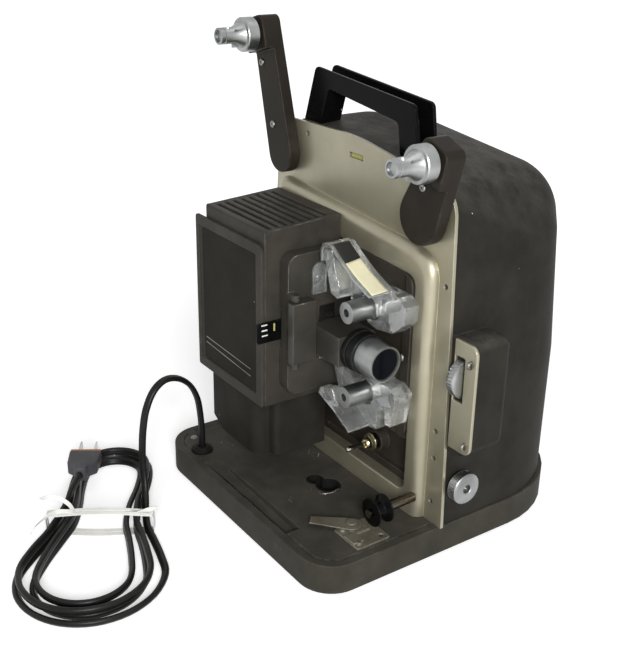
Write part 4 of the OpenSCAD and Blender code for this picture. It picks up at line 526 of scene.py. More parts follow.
def addScrew(bm, centre, axis, radius, rise, turn):
    head = spunPart([(radius * r, rise * h) for r, h in screwLook["dome"]], screwLook["steps"])
    rim = [e for e in head.edges if all(abs(v.co.z - rise * mm) < weld / 10 for v in e.verts)]
    a, b = radius * screwLook["arm"] * mm, radius * screwLook["half"] * mm
    arm = [(a, -b), (a, b), (b, b)]
    cross = arm + [(-y, x) for x, y in arm] + [(-x, -y) for x, y in arm] + [(y, -x) for x, y in arm]
    spin = Matrix.Rotation(turn, 3, "Z")
    corners = [head.verts.new(spin @ Vector((x, y, rise * mm))) for x, y in cross]
    inner = [head.edges.new((corners[i - 1], corners[i])) for i in range(len(corners))]
    bmesh.ops.triangle_fill(head, use_beauty=True, edges=rim + inner)
    sunk = bmesh.ops.extrude_edge_only(head, edges=inner)["geom"]
    floorVerts = [g for g in sunk if isinstance(g, bmesh.types.BMVert)]
    bmesh.ops.translate(head, verts=floorVerts, vec=(0, 0, -rise * screwLook["deep"] * mm))
    sides = [g for g in sunk if isinstance(g, bmesh.types.BMEdge)]
    floorEdges = [side for side in sides if all(v in floorVerts for v in side.verts)]
    bmesh.ops.contextual_create(head, geom=floorEdges)
    head.transform(turnTo(centre, axis))
    spare = bpy.data.meshes.new("spare")
    head.to_mesh(spare)
    head.free()
    bm.from_mesh(spare)
    bpy.data.meshes.remove(spare)


def screwPiece(name, heads, axis, rise, material, turn, **where):
    bm = bmesh.new()
    for centre, radius in heads:
        addScrew(bm, centre, axis, radius, rise, turn)
    addPiece(name, bm, material, **where)


def headsOf(node, way, across, rise):
    heads = []
    for low, high in looseBoxes(node):
        centre = (low + high) / 2
        centre[way] = high[way] - rise * mm
        heads.append((centre, (high[across] - low[across]) / 2 / mm))
    return heads


def roundedOutline(corners, steps):
    out = []
    for i, (x, z, r) in enumerate(corners):
        if not r:
            out.append((x, z))
            continue
        here = Vector((x, z))
        back = Vector(corners[i - 1][:2]) - here
        on = Vector(corners[(i + 1) % len(corners)][:2]) - here
        half = back.angle(on) / 2
        room = 0.48 * min(back.length, on.length)  # of the shorter side, so that curves don't meet
        reach = min(r / abs(sin(half) / cos(half)), room)
        a, b = here + back.normalized() * reach, here + on.normalized() * reach
        for k in range(steps + 1):
            t = k / steps
            out.append(tuple(a * (1 - t) ** 2 + here * 2 * t * (1 - t) + b * t ** 2))
    return out


def plainObject(name, bm):
    mesh = bpy.data.meshes.new(name)
    bmesh.ops.recalc_face_normals(bm, faces=bm.faces)
    bm.to_mesh(mesh)
    bm.free()
    made = bpy.data.objects.new(name, mesh)
    scene.collection.objects.link(made)
    return made


def carve(piece, others, crease=40):
    for other, operation in others:
        join = piece.modifiers.new(other.name, "BOOLEAN")
        join.object = other
        join.operation = operation
        join.solver = "EXACT"
    bpy.context.view_layer.update()
    shaped = bpy.data.meshes.new_from_object(piece.evaluated_get(bpy.context.evaluated_depsgraph_get()))
    piece.modifiers.clear()
    piece.data = shaped
    shaped.set_sharp_from_angle(angle=radians(crease))
    for other, operation in others:
        bpy.data.objects.remove(other)


# cord, its hank, tie and plug
hank = {"x": -60, "y": -224, "turn": -32, "long": 115, "near": 37, "far": 56, "nearPitch": 8.2,
        "farPitch": 13, "endPitch": 8, "waistAt": -12, "waistLong": 38, "waist": 0.28, "layer": 7.4,
        "low": 3.8, "rings": 24, "turns": 3.5, "half": 2, "run": 3 / 24, "farShare": 7 / 24,
        "nearShare": 5 / 24, "tail": [(-16, -29, 14), (-32, -27, 18), (-50, -23, 21)],
        "route": [(-90, -118, 26), (-90, -118, 44), (-90, -119, 60), (-89, -122, 76), (-88, -129, 90),
                  (-87, -140, 99), (-86, -152, 101), (-84, -163, 95), (-82, -171, 82), (-81, -175, 66),
                  (-80, -177, 50), (-79, -178, 36), (-75, -179, 23), (-68, -182, 12), (-58, -187, 6)]}
twin = {"wide": 0.0066, "half": 3.3, "thick": 2.5, "groove": 0.24, "grooveWide": 0.28, "points": 20,
        "steps": 4}


def hankPlace(s, w, z):
    a = radians(hank["turn"])
    return Vector((hank["x"] + s * cos(a) - w * sin(a), hank["y"] + s * sin(a) + w * cos(a), z)) * mm


def hankRun(s, near, far, long):
    k = (s + long - near) / (2 * long - near - far)
    waist = hank["waist"] * exp(-((s - hank["waistAt"]) / hank["waistLong"]) ** 2)
    return (near + (far - near) * k) * (1 - waist)


def hankPoint(t):
    inward = t if t < hank["half"] else 2 * hank["half"] - t
    u = t - int(t)
    near, far = hank["near"] - hank["nearPitch"] * inward, hank["far"] - hank["farPitch"] * inward
    long = hank["long"] - hank["endPitch"] * inward
    s0, s1 = near - long, long - far
    run, farShare, nearShare = hank["run"], hank["farShare"], hank["nearShare"]
    climb = min(max((t - hank["half"] + run) / (2 * run), 0), 1)
    z = hank["low"] + climb * hank["layer"]
    if u < run:
        s = s1 * u / run
        return hankPlace(s, hankRun(s, near, far, long), z)
    if u < run + farShare:
        a = radians(90 - 180 * (u - run) / farShare)
        return hankPlace(s1 + far * cos(a), far * sin(a), z)
    if u < 3 * run + farShare:
        s = s1 + (s0 - s1) * (u - run - farShare) / (2 * run)
        return hankPlace(s, -hankRun(s, near, far, long), z)
    if u < 1 - run:
        a = radians(-90 - 180 * (u - 3 * run - farShare) / nearShare)
        return hankPlace(s0 + near * cos(a), near * sin(a), z)
    s = s0 * (1 - u) / run
    return hankPlace(s, hankRun(s, near, far, long), z)


def twinPoint(a):
    groove = 1 - twin["groove"] * exp(-(cos(a) / twin["grooveWide"]) ** 2)
    return (twin["half"] * cos(a) * mm, twin["thick"] * sin(a) * groove * mm)


line = [Vector(p) * mm for p in hank["route"]]
line += [hankPoint(i / hank["rings"]) for i in range(int(hank["turns"] * hank["rings"]) + 1)]
line += [hankPlace(*p) for p in hank["tail"]]
cordPath = smoothPath(line, twin["steps"])
cordBm = bmesh.new()
sweep(cordBm, cordPath, [twinPoint(2 * pi * i / twin["points"]) for i in range(twin["points"])], up=yAxis)
cord = addPiece("cord", cordBm, cordSkin, "cord_run", crease=80)
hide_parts("cord_hank")

tie = {"low": 0.5, "high": 18.2, "half": 5.2, "loops": (-2.4, 2.6), "sway": 1.6, "square": (1.1, 2.2),
       "steps": 40, "strip": (1.7, 0.35), "endSteps": 5, "twist": 2.2,
       "ends": ([(0, -20, 18.8), (3, -24, 21), (8, -31, 24), (16, -36, 26), (23, -44, 22), (27, -47, 17)],
                [(0, -20, 18.8), (-5, -24, 22), (-9, -32, 25), (-8, -40, 27), (-13, -47, 22)],
                [(0, 24, 18.8), (5, 30, 21), (4, 38, 23), (-2, 44, 20)])}
tieBm = bmesh.new()
loopHalf = hankRun(0, hank["near"], hank["far"], hank["long"]) + tie["half"]
middleZ, reachZ = (tie["low"] + tie["high"]) / 2, (tie["high"] - tie["low"]) / 2
hankWay = (hankPlace(hank["long"], 0, 0) - hankPlace(0, 0, 0)).normalized()
for s in tie["loops"]:
    ringPath = []
    for i in range(tie["steps"] + 1):
        a = 2 * pi * i / tie["steps"]
        u, v = (max(min(part, 1), -1) for part in (cos(a) * tie["square"][0], sin(a) * tie["square"][1]))
        ringPath.append(hankPlace(s + tie["sway"] * sin(3 * a), loopHalf * u, middleZ + reachZ * v))
    sweep(tieBm, ringPath, strip(*tie["strip"]), side=hankWay)
for end in tie["ends"]:
    path = smoothPath([hankPlace(*p) for p in end], tie["endSteps"])
    sweep(tieBm, path, strip(*tie["strip"]), side=hankWay, twist=tie["twist"])
cordTie = addPiece("tie", tieBm, tiePaper, "cord_tie", bevel=0.15)

plug = {"side": [(0, 4.5), (6, 5.5), (11, 12), (30, 13)], "half": 13, "deep": 6, "back": 30, "face": 32.5,
        "inset": 0.6, "blades": (-6.3, 6.3), "bladeFrom": 32, "bladeTo": 49.4, "bladeThick": 0.8,
        "bladeHigh": 3.1}
plugSide = Vector(zAxis).cross(-hankWay).normalized()
plugTurn = Matrix((-hankWay, plugSide, Vector(zAxis))).transposed().to_4x4()
plugPlace = Matrix.Translation(hankPlace(*hank["tail"][-1])) @ plugTurn
plugBm = bmesh.new()
outline = [(x, -y) for x, y in plug["side"]] + plug["side"][::-1]
addPrism(plugBm, [plugPlace @ (Vector((x, y, -plug["deep"])) * mm) for x, y in outline],
         Vector((0, 0, 2 * plug["deep"] * mm)))
plugBody = addPiece("plug_body", plugBm, plugPlastic, "plug", bevel=1.6, steps=3)
half, deep = plug["half"] - plug["inset"], plug["deep"] - plug["inset"]
faceBox = (Vector((plug["back"], -half, -deep)) * mm, Vector((plug["face"], half, deep)) * mm)
plugCap = boxPiece("plug_face", [faceBox], plugFace, plugPlace, slot="plug_grey", bevel=0.5)
thick, high = plug["bladeThick"], plug["bladeHigh"]
blades = []
for side in plug["blades"]:
    low = Vector((plug["bladeFrom"], side - thick, -high)) * mm
    blades.append((low, Vector((plug["bladeTo"], side + thick, high)) * mm))
plugPins = boxPiece("plug_blades", blades, screwSteel, plugPlace, slot="plated", bevel=0.3)

# base
for node, material, bevel in (("base_tub", basePaint, 0.7), ("base_plate", blackMetal, 0.3),
                              ("feet", blackRubber, 0.6), ("cord_grommet", blackRubber, 0.6),
                              ("deck_cup", darkInside, 0.3), ("cutter_base", dullSteel, 0.3),
                              ("cutter_blade", dullSteel, 0.25)):
    skin(node, material, bevel)
cutterSquare = ((92, -95, 26.6), (104, -85, 28.2))
boxPiece("cutter_square", [[at(*corner) for corner in cutterSquare]], dullSteel, slot="motor_steel",
         bevel=0.3)
clip = {"path": [(28, -73, 22.5), (34, -72.5, 25.6), (36.5, -66, 25.8), (35, -59, 25.6), (30, -57, 23)],
        "steps": 6, "strip": (0.9, 0.35)}
clipBm = bmesh.new()
sweep(clipBm, smoothPath([at(*p) for p in clip["path"]], clip["steps"]), strip(*clip["strip"]))
addPiece("cup_clip", clipBm, screwSteel, slot="plated", bevel=0.12)
rivet = {"profile": [(0, 1.1), (1.6, 1.0), (2.6, 0.6), (3.1, 0)], "centre": (-100.6, -113.5, 25)}
spunPiece("deck_rivet", rivet["profile"], at(*rivet["centre"]), zAxis, dullSteel, steps=32,
          slot="plated")
print("base dressed")

# plate and side bracket
skin("side_bracket", khakiPaint, 0.6)
backing = ((-9, -24.0, 277), (13, -23.6, 286))
boxPiece("slot_backing", [[at(*corner) for corner in backing]], slotYellow, slot="khaki")

# outlines: x, z and the radius of each corner
plate = {"flange": [(-118, 25, 0), (120.4, 25, 0), (111.5, 279, 22), (1.8, 296, 220), (-100, 294, 14.67)],
         "block": [(-94, 25.3, 0), (100.7, 25.3, 0), (100.7, 233, 22), (-94, 248, 11)], "upper": 100,
         "opening": [(-84, 42, 0), (84.5, 42, 9), (84.5, 214, 9), (-84, 223, 0)],
         "back": -24.2, "face": -26.7, "front": -34.8, "shoulder": 7.5, "shoulderSteps": 9, "edge": 1.4,
         "edgeSteps": 4, "steps": 12, "hole": 2, "drill": (-25, 12), "slotThrough": (-30, -20),
         "holes": [(107.5, 42.4), (107.5, 79), (107.5, 101.5), (107.5, 213), (-60.6, 286)],
         "slot": ((-6.7, 279), (10.3, 283))}
plateBm = bmesh.new()


def plateRing(corners, y):
    return [plateBm.verts.new(at(x, y, z)) for x, z in roundedOutline(corners, plate["steps"])]


def grown(corners, by):
    ways = ((-1, -1), (1, -1), (1, 1), (-1, 1))
    return [(x + by * u, z + by * v, r + by if r else 0) for (x, z, r), (u, v) in zip(corners, ways)]


def joinRings(a, b):
    for i in range(len(a)):
        plateBm.faces.new((a[i - 1], a[i], b[i], b[i - 1]))


def fillBetween(a, b):
    loops = [plateBm.edges.get((ring[i - 1], ring[i])) for ring in (a, b) for i in range(len(ring))]
    bmesh.ops.triangle_fill(plateBm, use_beauty=True, edges=loops)


rise = plate["face"] - plate["front"]
shoulder = []
for i in range(plate["shoulderSteps"] + 1):
    a = pi / 2 * i / plate["shoulderSteps"]
    d = plate["shoulder"] * (1 - cos(a))
    corners = [(x + (d if x < 0 else -d), z - (d if z > plate["upper"] else 0), max(r - d / 2, 0))
               for x, z, r in plate["block"]]
    shoulder.append(plateRing(corners, plate["face"] - rise * sin(a)))
opening = []
for i in range(plate["edgeSteps"] + 1):
    a = pi / 2 * i / plate["edgeSteps"]
    wider = grown(plate["opening"], plate["edge"] * (1 - sin(a)))
    opening.append(plateRing(wider, plate["front"] + plate["edge"] * (1 - cos(a))))
opening.append(plateRing(plate["opening"], plate["back"]))
rims = [plateRing(plate["flange"], y) for y in (plate["face"], plate["back"])]
for group in (shoulder, opening, rims):
    for a, b in zip(group, group[1:]):
        joinRings(a, b)
for a, b in ((rims[0], shoulder[0]), (shoulder[-1], opening[0]), (rims[1], opening[-1])):
    fillBetween(a, b)
platePiece = addPiece("main_plate_pressed", plateBm, khakiPaint, "main_plate", crease=40)
holeBm = bmesh.new()
drillY, drillLong = plate["drill"]
for x, z in plate["holes"]:
    addRod(holeBm, plate["hole"], drillLong, turnTo(at(x, drillY, z), yAxis), segments=24)
addBox(holeBm, *(at(x, y, z) for (x, z), y in zip(plate["slot"], plate["slotThrough"])))
carve(platePiece, [(plainObject("holes", holeBm), "DIFFERENCE")])

# rear cover: the hull of rounded corners, domes and its flat front
cover = {"long": 116.5, "wide": 128.3, "corner": 83, "back": -24.2, "low": 25, "mid": 135, "wall": 3,
         "rim": 0.5, "sides": [(-1, 79, 190), (1, 77.2, 230.5)], "band": 1, "segments": 112,
         "flange": [(-115, 25, 0), (117.4, 25, 0), (108.5, 276, 22), (1.8, 293, 220), (-97, 291, 14.7)],
         "flangeSteps": 16, "weld": 0.05, "facing": -0.98, "near": (0.2, 0.5), "domeSteps": (72, 48),
         "domes": [(-58, 80, 243, 44), (38.6, 84.2, 229.5, 46), (-60, 33, 251, 45.4),
                   (48.7, 20.5, 237.9, 45.4)]}
formBm = bmesh.new()
for side, r2, high in cover["sides"]:
    centre = (side * (cover["long"] - cover["corner"]), cover["wide"] - cover["corner"])
    for r, low, top in ((cover["corner"], cover["low"], cover["mid"]), (r2, high - cover["band"], high)):
        place = Matrix.Translation(at(*centre, (low + top) / 2))
        addRod(formBm, r, top - low, place, cover["segments"], caps=False)
around, upward = cover["domeSteps"]
for x, y, z, r in cover["domes"]:
    bmesh.ops.create_uvsphere(formBm, u_segments=around, v_segments=upward, radius=r * mm,
                              matrix=Matrix.Translation(at(x, y, z)))
frontY, rimY = cover["back"], cover["back"] + cover["rim"]
addBox(formBm, at(-cover["long"], frontY, cover["low"]), at(cover["long"], rimY, cover["mid"]))
for x, z in roundedOutline(cover["flange"], cover["flangeSteps"]):
    for y in (frontY, rimY):
        formBm.verts.new(at(x, y, z))
coverBm = bmesh.new()
for vert in formBm.verts:
    coverBm.verts.new(vert.co)
formBm.free()
bmesh.ops.convex_hull(coverBm, input=coverBm.verts)
bmesh.ops.delete(coverBm, geom=[v for v in coverBm.verts if not v.link_faces], context="VERTS")
clean(coverBm, cover["weld"] * mm)
openFaces = []
for face in coverBm.faces:
    middle = face.calc_center_median()
    atFront = face.normal.y < cover["facing"] and middle.y < (frontY + cover["near"][0]) * mm
    atFoot = face.normal.z < cover["facing"] and middle.z < (cover["low"] + cover["near"][1]) * mm
    if atFront or atFoot:
        openFaces.append(face)
bmesh.ops.delete(coverBm, geom=openFaces, context="FACES")
coverPiece = addPiece("rear_cover_shell", coverBm, housingPaint, "rear_cover", crease=40)
walls = coverPiece.modifiers.new("walls", "SOLIDIFY")
walls.thickness = cover["wall"] * mm
walls.offset = -1

vents = {"count": 8, "first": 52, "pitch": 8, "high": 3.2, "from": (-130, 8), "to": (-95, 52)}
shaftHole = {"centre": (116, -12, 59), "radius": 4.5, "long": 40}
cutBm = bmesh.new()
for i in range(vents["count"]):
    z = vents["first"] + vents["pitch"] * i
    addBox(cutBm, at(*vents["from"], z), at(*vents["to"], z + vents["high"]))
addRod(cutBm, shaftHole["radius"], shaftHole["long"], turnTo(at(*shaftHole["centre"]), xAxis), segments=48)

# outer, inner: metres, to tell the edges that are rounded
bump = {"low": (97, -24.2, 91), "high": (138, 14, 178), "round": 9, "steps": 6, "outer": 0.1, "inner": -0.02}
bumpBm = bmesh.new()
addBox(bumpBm, at(*bump["low"]), at(*bump["high"]))
edges = [e for e in bumpBm.edges if all(v.co.x > bump["outer"] for v in e.verts)
         and not all(v.co.y < bump["inner"] for v in e.verts)]
edges += [e for e in bumpBm.edges if all(v.co.y > 0 for v in e.verts) and e not in edges]
bmesh.ops.bevel(bumpBm, geom=edges, offset=bump["round"] * mm, affect="EDGES", segments=bump["steps"],
                profile=0.5, material=-1)
pads = {"tops": ((-71.5, 293), (50.5, 288)), "half": 9.5, "deep": 30, "y": (-18, 3.5)}
padBm = bmesh.new()
for x, z in pads["tops"]:
    addBox(padBm, at(x - pads["half"], pads["y"][0], z - pads["deep"]), at(x + pads["half"], pads["y"][1], z))
carve(coverPiece, [(plainObject("bump", bumpBm), "UNION"), (plainObject("pads", padBm), "UNION"),
                   (plainObject("cuts", cutBm), "DIFFERENCE")])
bracketRise = 1.6
heads = headsOf("bracket_screws", 0, 2, bracketRise)
screwPiece("bracket_screw_heads", heads, xAxis, bracketRise, sheetSteel, turn=0.4, node="bracket_screws")
print("plate and cover dressed")

# turned and knurled pieces; profiles: radius and place along the axis; bands: low, high, least radius, depth
wheel = {"centre": (127, -21, 151), "band": (-2.6, 2.6, 14, 0.6),
         "profile": [(2.1, -4), (12.2, -4), (13.6, -3.6), (14.6, -3.2), (14.9, -2.6), (14.9, 2.6),
                     (14.6, 3.2), (13.6, 3.6), (12.2, 4), (2.1, 4)]}
knob = {"centre": (121, -12, 59), "band": (1.4, 7, 11, 0.6),
        "profile": [(3.1, 0), (11.2, 0), (12.1, 0.8), (12.1, 1.4), (12.1, 7), (12.1, 7.7), (11.2, 8.6),
                    (9.6, 9), (4.2, 9), (3.4, 8.4), (3.1, 6)]}
for node, look in (("framing_wheel", wheel), ("tilt_knob", knob)):
    centre = at(*look["centre"])
    knobSteel = metal(node.replace("_", " ") + " metal", turned, centre, xAxis)
    spunPiece(node + "_turned", look["profile"], centre, xAxis, knobSteel, node, band=look["band"])
skin("tilt_shaft", sheetSteel)
skin("tilt_leg", sheetSteel, 0.2)

barrel = {"long": 28, "tail": [(7.4, 0), (9, 0)], "steps": 120, "band": (4, 14), "least": 13, "depth": 0.35,
          "profile": [(9, 0), (13, 0), (13.8, 0.8), (13.8, 4), (13.8, 14), (13.8, 14.4), (13.8, 27.2),
                      (13.4, 28), (12.2, 28), (11.6, 26.4), (11.4, 12), (7.4, 4)],
          "marks": (54, -55.3, 151.7)}
barrelSteel = metal("barrel metal", turned, at(*barrel["marks"]), xAxis)
low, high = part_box("lens_barrel")
barrelCentre = Vector((low.x, (low.y + high.y) / 2, (low.z + high.z) / 2))
tailLong = high.x / mm - low.x / mm - barrel["long"]
profile = barrel["tail"] + [(r, tailLong + h) for r, h in barrel["profile"]]
band = (*(tailLong + h for h in barrel["band"]), barrel["least"], barrel["depth"])
spunPiece("lens_barrel_turned", profile, barrelCentre, xAxis, barrelSteel, "lens_barrel",
          steps=barrel["steps"], band=band)
collar = [(14, 0), (14.8, 0), (15.4, 0.6), (15.4, 7.4), (14.8, 8), (14, 8)]
collarCentre = Vector((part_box("lens_clamp")[1].x, barrelCentre.y, barrelCentre.z))
spunPiece("lens_collar", collar, collarCentre, xAxis, blackMetal, steps=96, body=bodyOf["lens_clamp"],
          slot=slotOf["lens_clamp"])
skin("lens_front_glass", lensShadeBlack)
skin("lens_rear_glass", lensGlass)

spindle = {"profile": [(0, -17), (5, -17), (5, 0), (13, 0), (13, 1), (13, 8.6), (12.4, 9.5), (10.5, 9.5),
                       (10, 9.7), (6.3, 17.1), (6.3, 25), (5.7, 25.4), (5.7, 26.4), (6.3, 26.8), (6.3, 29.2),
                       (5.9, 29.5), (4.6, 29.5), (4.2, 27.5), (0, 27.5)],
           "long": 29.5, "steps": 96, "fins": (35, 155, 275), "finAt": (7.4, 0, 13.6), "fin": (3.4, 1.1, 8.6),
           "ball": 1.5, "ballTurn": 70, "ballAt": (6.0, 0, 22), "ballSteps": (24, 16)}
around, upward = spindle["ballSteps"]
ballTurn = Matrix.Rotation(radians(spindle["ballTurn"]), 4, "Z")
ballPlace = ballTurn @ Matrix.Translation(Vector(spindle["ballAt"]) * mm)
for node in ("supply_spindle", "takeup_spindle"):
    low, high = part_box(node)
    middle = (low + high) / 2
    centre = Vector((middle.x, low.y + spindle["long"] * mm, middle.z))
    spunSteel = metal(node + " metal", turned, centre, toFilm)
    spinBm = spunPart(spindle["profile"], spindle["steps"])
    for a in spindle["fins"]:
        place = Matrix.Rotation(radians(a), 4, "Z") @ Matrix.Translation(Vector(spindle["finAt"]) * mm)
        size = Matrix.Diagonal((*(Vector(spindle["fin"]) * mm), 1))
        bmesh.ops.create_cube(spinBm, size=1, matrix=place @ size)
    spinBm.transform(turnTo(centre, toFilm))
    addPiece(node + "_turned", spinBm, spunSteel, node)
    ballBm = bmesh.new()
    bmesh.ops.create_uvsphere(ballBm, u_segments=around, v_segments=upward, radius=spindle["ball"] * mm,
                              matrix=turnTo(centre, toFilm) @ ballPlace)
    addPiece(node + "_ball", ballBm, chromeBall, body=bodyOf[node], slot="plated")

for node in ("upper_sprocket", "lower_sprocket"):
    low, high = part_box(node)
    skin(node, metal(node + " metal", turned, (low + high) / 2, yAxis), 0.12)

snubber = {"dark": (74, 68, 60), "light": (104, 96, 86), "rough": 0.28, "marks": (96, -50, 42.7),
           "roller": [(3.3, -6.2), (9.8, -6.0), (10.9, -5.6), (10.9, -5.0), (10.4, -4.6), (7.6, -3.8),
                      (6, -2.4), (5.6, 0), (6, 3), (7.6, 4.6), (10.4, 5.8), (10.9, 6.2), (10.9, 6.8),
                      (9.8, 7.2), (6, 7.5), (5.4, 8.2), (3.3, 8.2)],
           "collar": [(2.9, 0), (4.4, 0), (4.2, 1)], "foot": (3.7, 2.9), "past": 1.6, "sunk": 0.5}
darkSteel = metal("snubber metal", snubber, at(*snubber["marks"]), yAxis)
skin("snubber_shaft", darkSteel)
low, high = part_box("snubber_roller")
middle = (low + high) / 2
spunPiece("snubber_roller_turned", snubber["roller"], middle, yAxis, blackPlastic, "snubber_roller")
sleeveFront, sleeveBack = high.y / mm + snubber["past"], plate["front"] + snubber["sunk"]
sleeve = snubber["collar"] + [(r, sleeveBack - sleeveFront) for r in snubber["foot"]]
sleeveCentre = Vector((middle.x, sleeveFront * mm, middle.z))
spunPiece("snubber_sleeve", sleeve, sleeveCentre, yAxis, darkSteel, steps=48, slot="plated")
print("turned pieces dressed")

# mechanism side
skin("mechanism_plate", mechanismPaint, 0.4)
skin("switch_panel", mechanismPaint, 0.4)
skin("lamphouse_cover", lampPaintLit, 0.6, plain=True)
skin("lamp_panel", lampPaintLit, 0.8, steps=3)
recess = {"outline": [(-92.9, 102.1, 5), (-11.1, 102.1, 5), (-11.1, 215.9, 5), (-92.9, 215.9, 5)], "steps": 6,
          "front": -104.5, "thick": 0.4}
recessBm = bmesh.new()
corners = [at(x, recess["front"], z) for x, z in roundedOutline(recess["outline"], recess["steps"])]
addPrism(recessBm, corners, Vector((0, recess["thick"], 0)) * mm)
addPiece("panel_recess", recessBm, recessPaint, body="lamphouse", slot="lamphouse")
for node, material, bevel in (("film_box_rear", housingPaint, 0.5), ("film_box_front", housingPaint, 0.5),
                              ("mode_tab", blackPlastic, 0), ("gate_housing", gatePaint, 0.3),
                              ("gate_door", gatePaint, 0.6), ("lens_carrier", gatePaint, 0.6),
                              ("lens_clamp", blackMetal, 0.3), ("aperture_plate", screwSteel, 0.1),
                              ("pressure_plate", screwSteel, 0.1), ("film_tab", clearAcrylic, 0.2),
                              ("upper_guide", clearAcrylic, 0.25), ("guide_block", clearAcrylic, 0.4),
                              ("lower_guide", clearAcrylic, 0.3)):
    skin(node, material, bevel)
skin("supply_arm", armPaint, 1.0, steps=3)
skin("takeup_arm", armPaint, 1.0, steps=3)
skin("handle", blackPlastic, 0.8)
for node, material in (("motor", sheetSteel), ("motor_rotor", sheetSteel), ("fan", blackMetal),
                       ("main_shaft", sheetSteel), ("shutter", blackMetal), ("drive_belt", blackRubber),
                       ("lamp", bulbGlass), ("lamp_socket", ceramicBody), ("reflector", screwSteel)):
    skin(node, material)

# toggle switch; nuts: radius, thickness, distance in front of the pivot, sides
toggle = {"x": 46, "y": -34.8, "z": 66.6, "sunk": 0.2, "tip": [(3.5, 8.5), (3.9, 8.5), (4.3, 8.1)],
          "foot": [(4.2, -1), (3.5, -1)], "turns": 15, "crest": 4.4, "deep": 0.3, "start": 7.8, "pitch": 0.5,
          "nuts": ((6.6, 2.2, 3.6, 6), (7.4, 0.7, 2.1, 40), (7.0, 1.9, 0.8, 6)),
          "lever": [(0, 25.6), (1.3, 25.3), (2.1, 24.4), (2.3, 23.2), (2.1, 21), (1.5, 13), (1.5, 2),
                    (2.2, 0), (0, -1)]}


def toggleAt(away):
    return at(toggle["x"], toggle["y"] - away, toggle["z"])


thread = [(toggle["crest"] - toggle["deep"] * (i % 2), toggle["start"] - toggle["pitch"] * i)
          for i in range(toggle["turns"])]
spunPiece("toggle_bushing", toggle["tip"] + thread + toggle["foot"], toggleAt(-toggle["sunk"]), toFilm,
          goldPlate, steps=48, slot="gold")
nutBm = bmesh.new()
for radius, thick, away, sides in toggle["nuts"]:
    addRod(nutBm, radius, thick, turnTo(toggleAt(away), toFilm), sides)
addPiece("toggle_nut", nutBm, goldPlate, slot="gold", bevel=0.25)
addPiece("toggle_block", copyOf("toggle_body"), blackPlastic, "toggle_body")
spunPiece("toggle_lever", toggle["lever"], toggleAt(0), toFilm, screwSteel, "toggle_bat", steps=40)

# screws; mechanism: x, z and radius
screws = {"takeup": [(-109.0, -38.3, 334.5), (-92.8, -38.3, 288.6)], "supply": [(91.1, -38.3, 280.0)],
          "arm": 2.9, "mechanism": [(81.5, 153.8, 3.0), (68, 195, 3.0), (66, 173.5, 2.6)], "proud": 0.9,
          "rise": 1.3, "handleRise": 1.4}
for name, arm, turn in (("takeup_arm_screws", "takeup", 0.5), ("supply_arm_screw", "supply", 0.9)):
    heads = [(at(*place), screws["arm"]) for place in screws[arm]]
    screwPiece(name, heads, toFilm, screws["rise"], sheetSteel, turn, body=arm + "_arm", slot="plated")
heads = headsOf("handle_screws", 2, 0, screws["handleRise"])
screwPiece("handle_screw_heads", heads, zAxis, screws["handleRise"], screwSteel, turn=0.7,
           node="handle_screws")
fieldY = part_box("mechanism_plate")[0].y / mm
heads = [(at(x, fieldY + screws["proud"], z), r) for x, z, r in screws["mechanism"]]
screwPiece("mechanism_screws", heads, toFilm, screws["rise"], sheetSteel, turn=0.3, slot="plated")

# labels left bare; line: x and z along the top of the guide block
label = {"line": [(22, 224), (25, 229), (33, 229.5), (45, 222), (60, 214), (80, 206)], "front": -68.5,
         "back": -54, "rise": 0.12, "long": 24, "wide": 8, "thick": 0.1}


def lineZ(x):
    for (x0, z0), (x1, z1) in zip(label["line"], label["line"][1:]):
        if x <= x1:
            return z0 + (z1 - z0) * (x - x0) / (x1 - x0)
    return label["line"][-1][1]


def addLabel(name, frontSpan, backSpan, material):
    bm = bmesh.new()
    rows = []
    for i in range(label["long"] + 1):
        k = i / label["long"]
        row = []
        for j in range(label["wide"] + 1):
            t = j / label["wide"]
            x0, x1 = (frontSpan[end] * (1 - t) + backSpan[end] * t for end in (0, 1))
            x = x0 * (1 - k) + x1 * k
            y = label["front"] + (label["back"] - label["front"]) * t
            row.append(bm.verts.new(at(x, y, lineZ(x) + label["rise"])))
        rows.append(row)
    for a, b in zip(rows, rows[1:]):
        for j in range(label["wide"]):
            bm.faces.new((a[j], a[j + 1], b[j + 1], b[j]))
    made = addPiece(name, bm, material, slot="clear_plastic", crease=60)
    sheet = made.modifiers.new("paper", "SOLIDIFY")
    sheet.thickness = label["thick"] * mm
    sheet.offset = 1


addLabel("label_dark", frontSpan=(33, 49), backSpan=(32, 47), material=labelBlack)
addLabel("label_pale", frontSpan=(49, 80), backSpan=(47, 79), material=labelPale)

# thin bright lines on the lamp house, marks on the tab
panelLines = {"y": -104.3, "strip": (0.3, 0.35),
              "ends": (((-89.7, 122.0), (-20.7, 119.8)), ((-89.9, 117.4), (-20.7, 113.7)))}
lineBm = bmesh.new()
for ends in panelLines["ends"]:
    sweep(lineBm, [at(x, panelLines["y"], z) for x, z in ends], strip(*panelLines["strip"]))
addPiece("panel_lines", lineBm, sheetSteel, body="lamphouse", slot="plated")
marks = {"sunk": 0.02, "proud": 0.12, "rows": [(-104.6, 163.4), (-104.4, 159.2), (-104.2, 155.0)],
         "half": (2.5, 0.55), "pointer": (-95.9, 160.2), "pointerHalf": (0.7, 3)}
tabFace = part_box("mode_tab")[1].x


def markBox(centre, half):
    (y, z), (dy, dz) = centre, half
    return (Vector((tabFace - marks["sunk"] * mm, (y - dy) * mm, (z - dz) * mm)),
            Vector((tabFace + marks["proud"] * mm, (y + dy) * mm, (z + dz) * mm)))


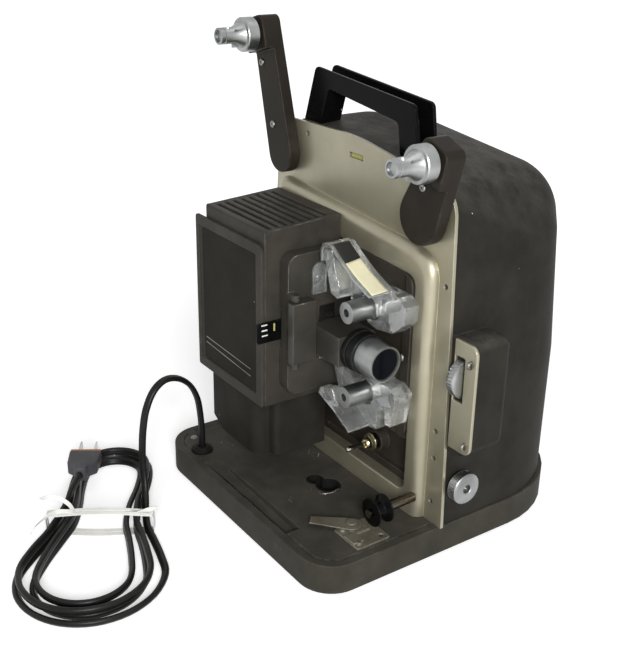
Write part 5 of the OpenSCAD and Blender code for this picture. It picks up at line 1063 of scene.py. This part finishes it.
boxPiece("mode_marks", [markBox(row, marks["half"]) for row in marks["rows"]], markWhite, body="mode_lever",
         slot="black_plastic")
boxPiece("mode_pointer", [markBox(marks["pointer"], marks["pointerHalf"])], slotYellow, body="mode_lever",
         slot="black_plastic")
print("small pieces dressed")


# floor, world and lamps
def seenDirectly(tree):
    rays = wire(tree, "LightPath").outputs
    seen = mathNode(tree, "MAXIMUM", rays["Is Camera Ray"], rays["Is Glossy Ray"])
    return mathNode(tree, "MAXIMUM", seen, rays["Is Transmission Ray"])


studio = {"floor": (0.9, 0.9, 0.9, 1), "rough": 0.9, "sheen": 0.1, "glow": (0.42, 0.85), "size": 6,
          "glowFrom": (0.2, 0.9), "drop": -0.0005, "light": 0.26, "seen": 1.0}
floorMaterial, tree, shader, place = startMaterial("floor")
far = wire(tree, "VectorMath", {0: place}, operation="LENGTH").outputs["Value"]
paler = spread(tree, far, *studio["glowFrom"], *studio["glow"], interpolation_type="SMOOTHSTEP")
setInputs(tree, shader, {"Base Color": studio["floor"], "Roughness": studio["rough"],
                         "Specular IOR Level": studio["sheen"], "Emission Color": (1, 1, 1, 1),
                         "Emission Strength": mathNode(tree, "MULTIPLY", seenDirectly(tree), paler)})
floorBm = bmesh.new()
bmesh.ops.create_grid(floorBm, x_segments=1, y_segments=1, size=studio["size"])
floor = plainObject("floor", floorBm)
floor.location.z = studio["drop"]
floor.data.materials.append(floorMaterial)

world = bpy.data.worlds.new("studio")
scene.world = world
world.use_nodes = True
tree = world.node_tree
strength = spread(tree, seenDirectly(tree), start=studio["light"], end=studio["seen"])
setInputs(tree, tree.nodes["Background"], {"Color": (1, 1, 1, 1), "Strength": strength})

lamps = {"key": {"from": (0.85, -0.5, 0.4), "away": 1.7, "size": 0.6, "power": 32},
         "fill": {"from": (-0.35, -0.95, 0.45), "away": 1.9, "size": 1.2, "power": 1.5},
         "top": {"from": (0.1, 0.15, 1.0), "away": 1.5, "size": 1.0, "power": 3}}
aim = Vector((0, -0.02, 0.15))
for name, lamp in lamps.items():
    data = bpy.data.lights.new(name, "AREA")
    data.shape = "DISK"
    data.size = lamp["size"]
    data.energy = lamp["power"]
    way = Vector(lamp["from"]).normalized()
    lampObject = bpy.data.objects.new(name, data)
    lampObject.matrix_world = turnTo(aim + way * lamp["away"], way)
    scene.collection.objects.link(lampObject)
print("lit")
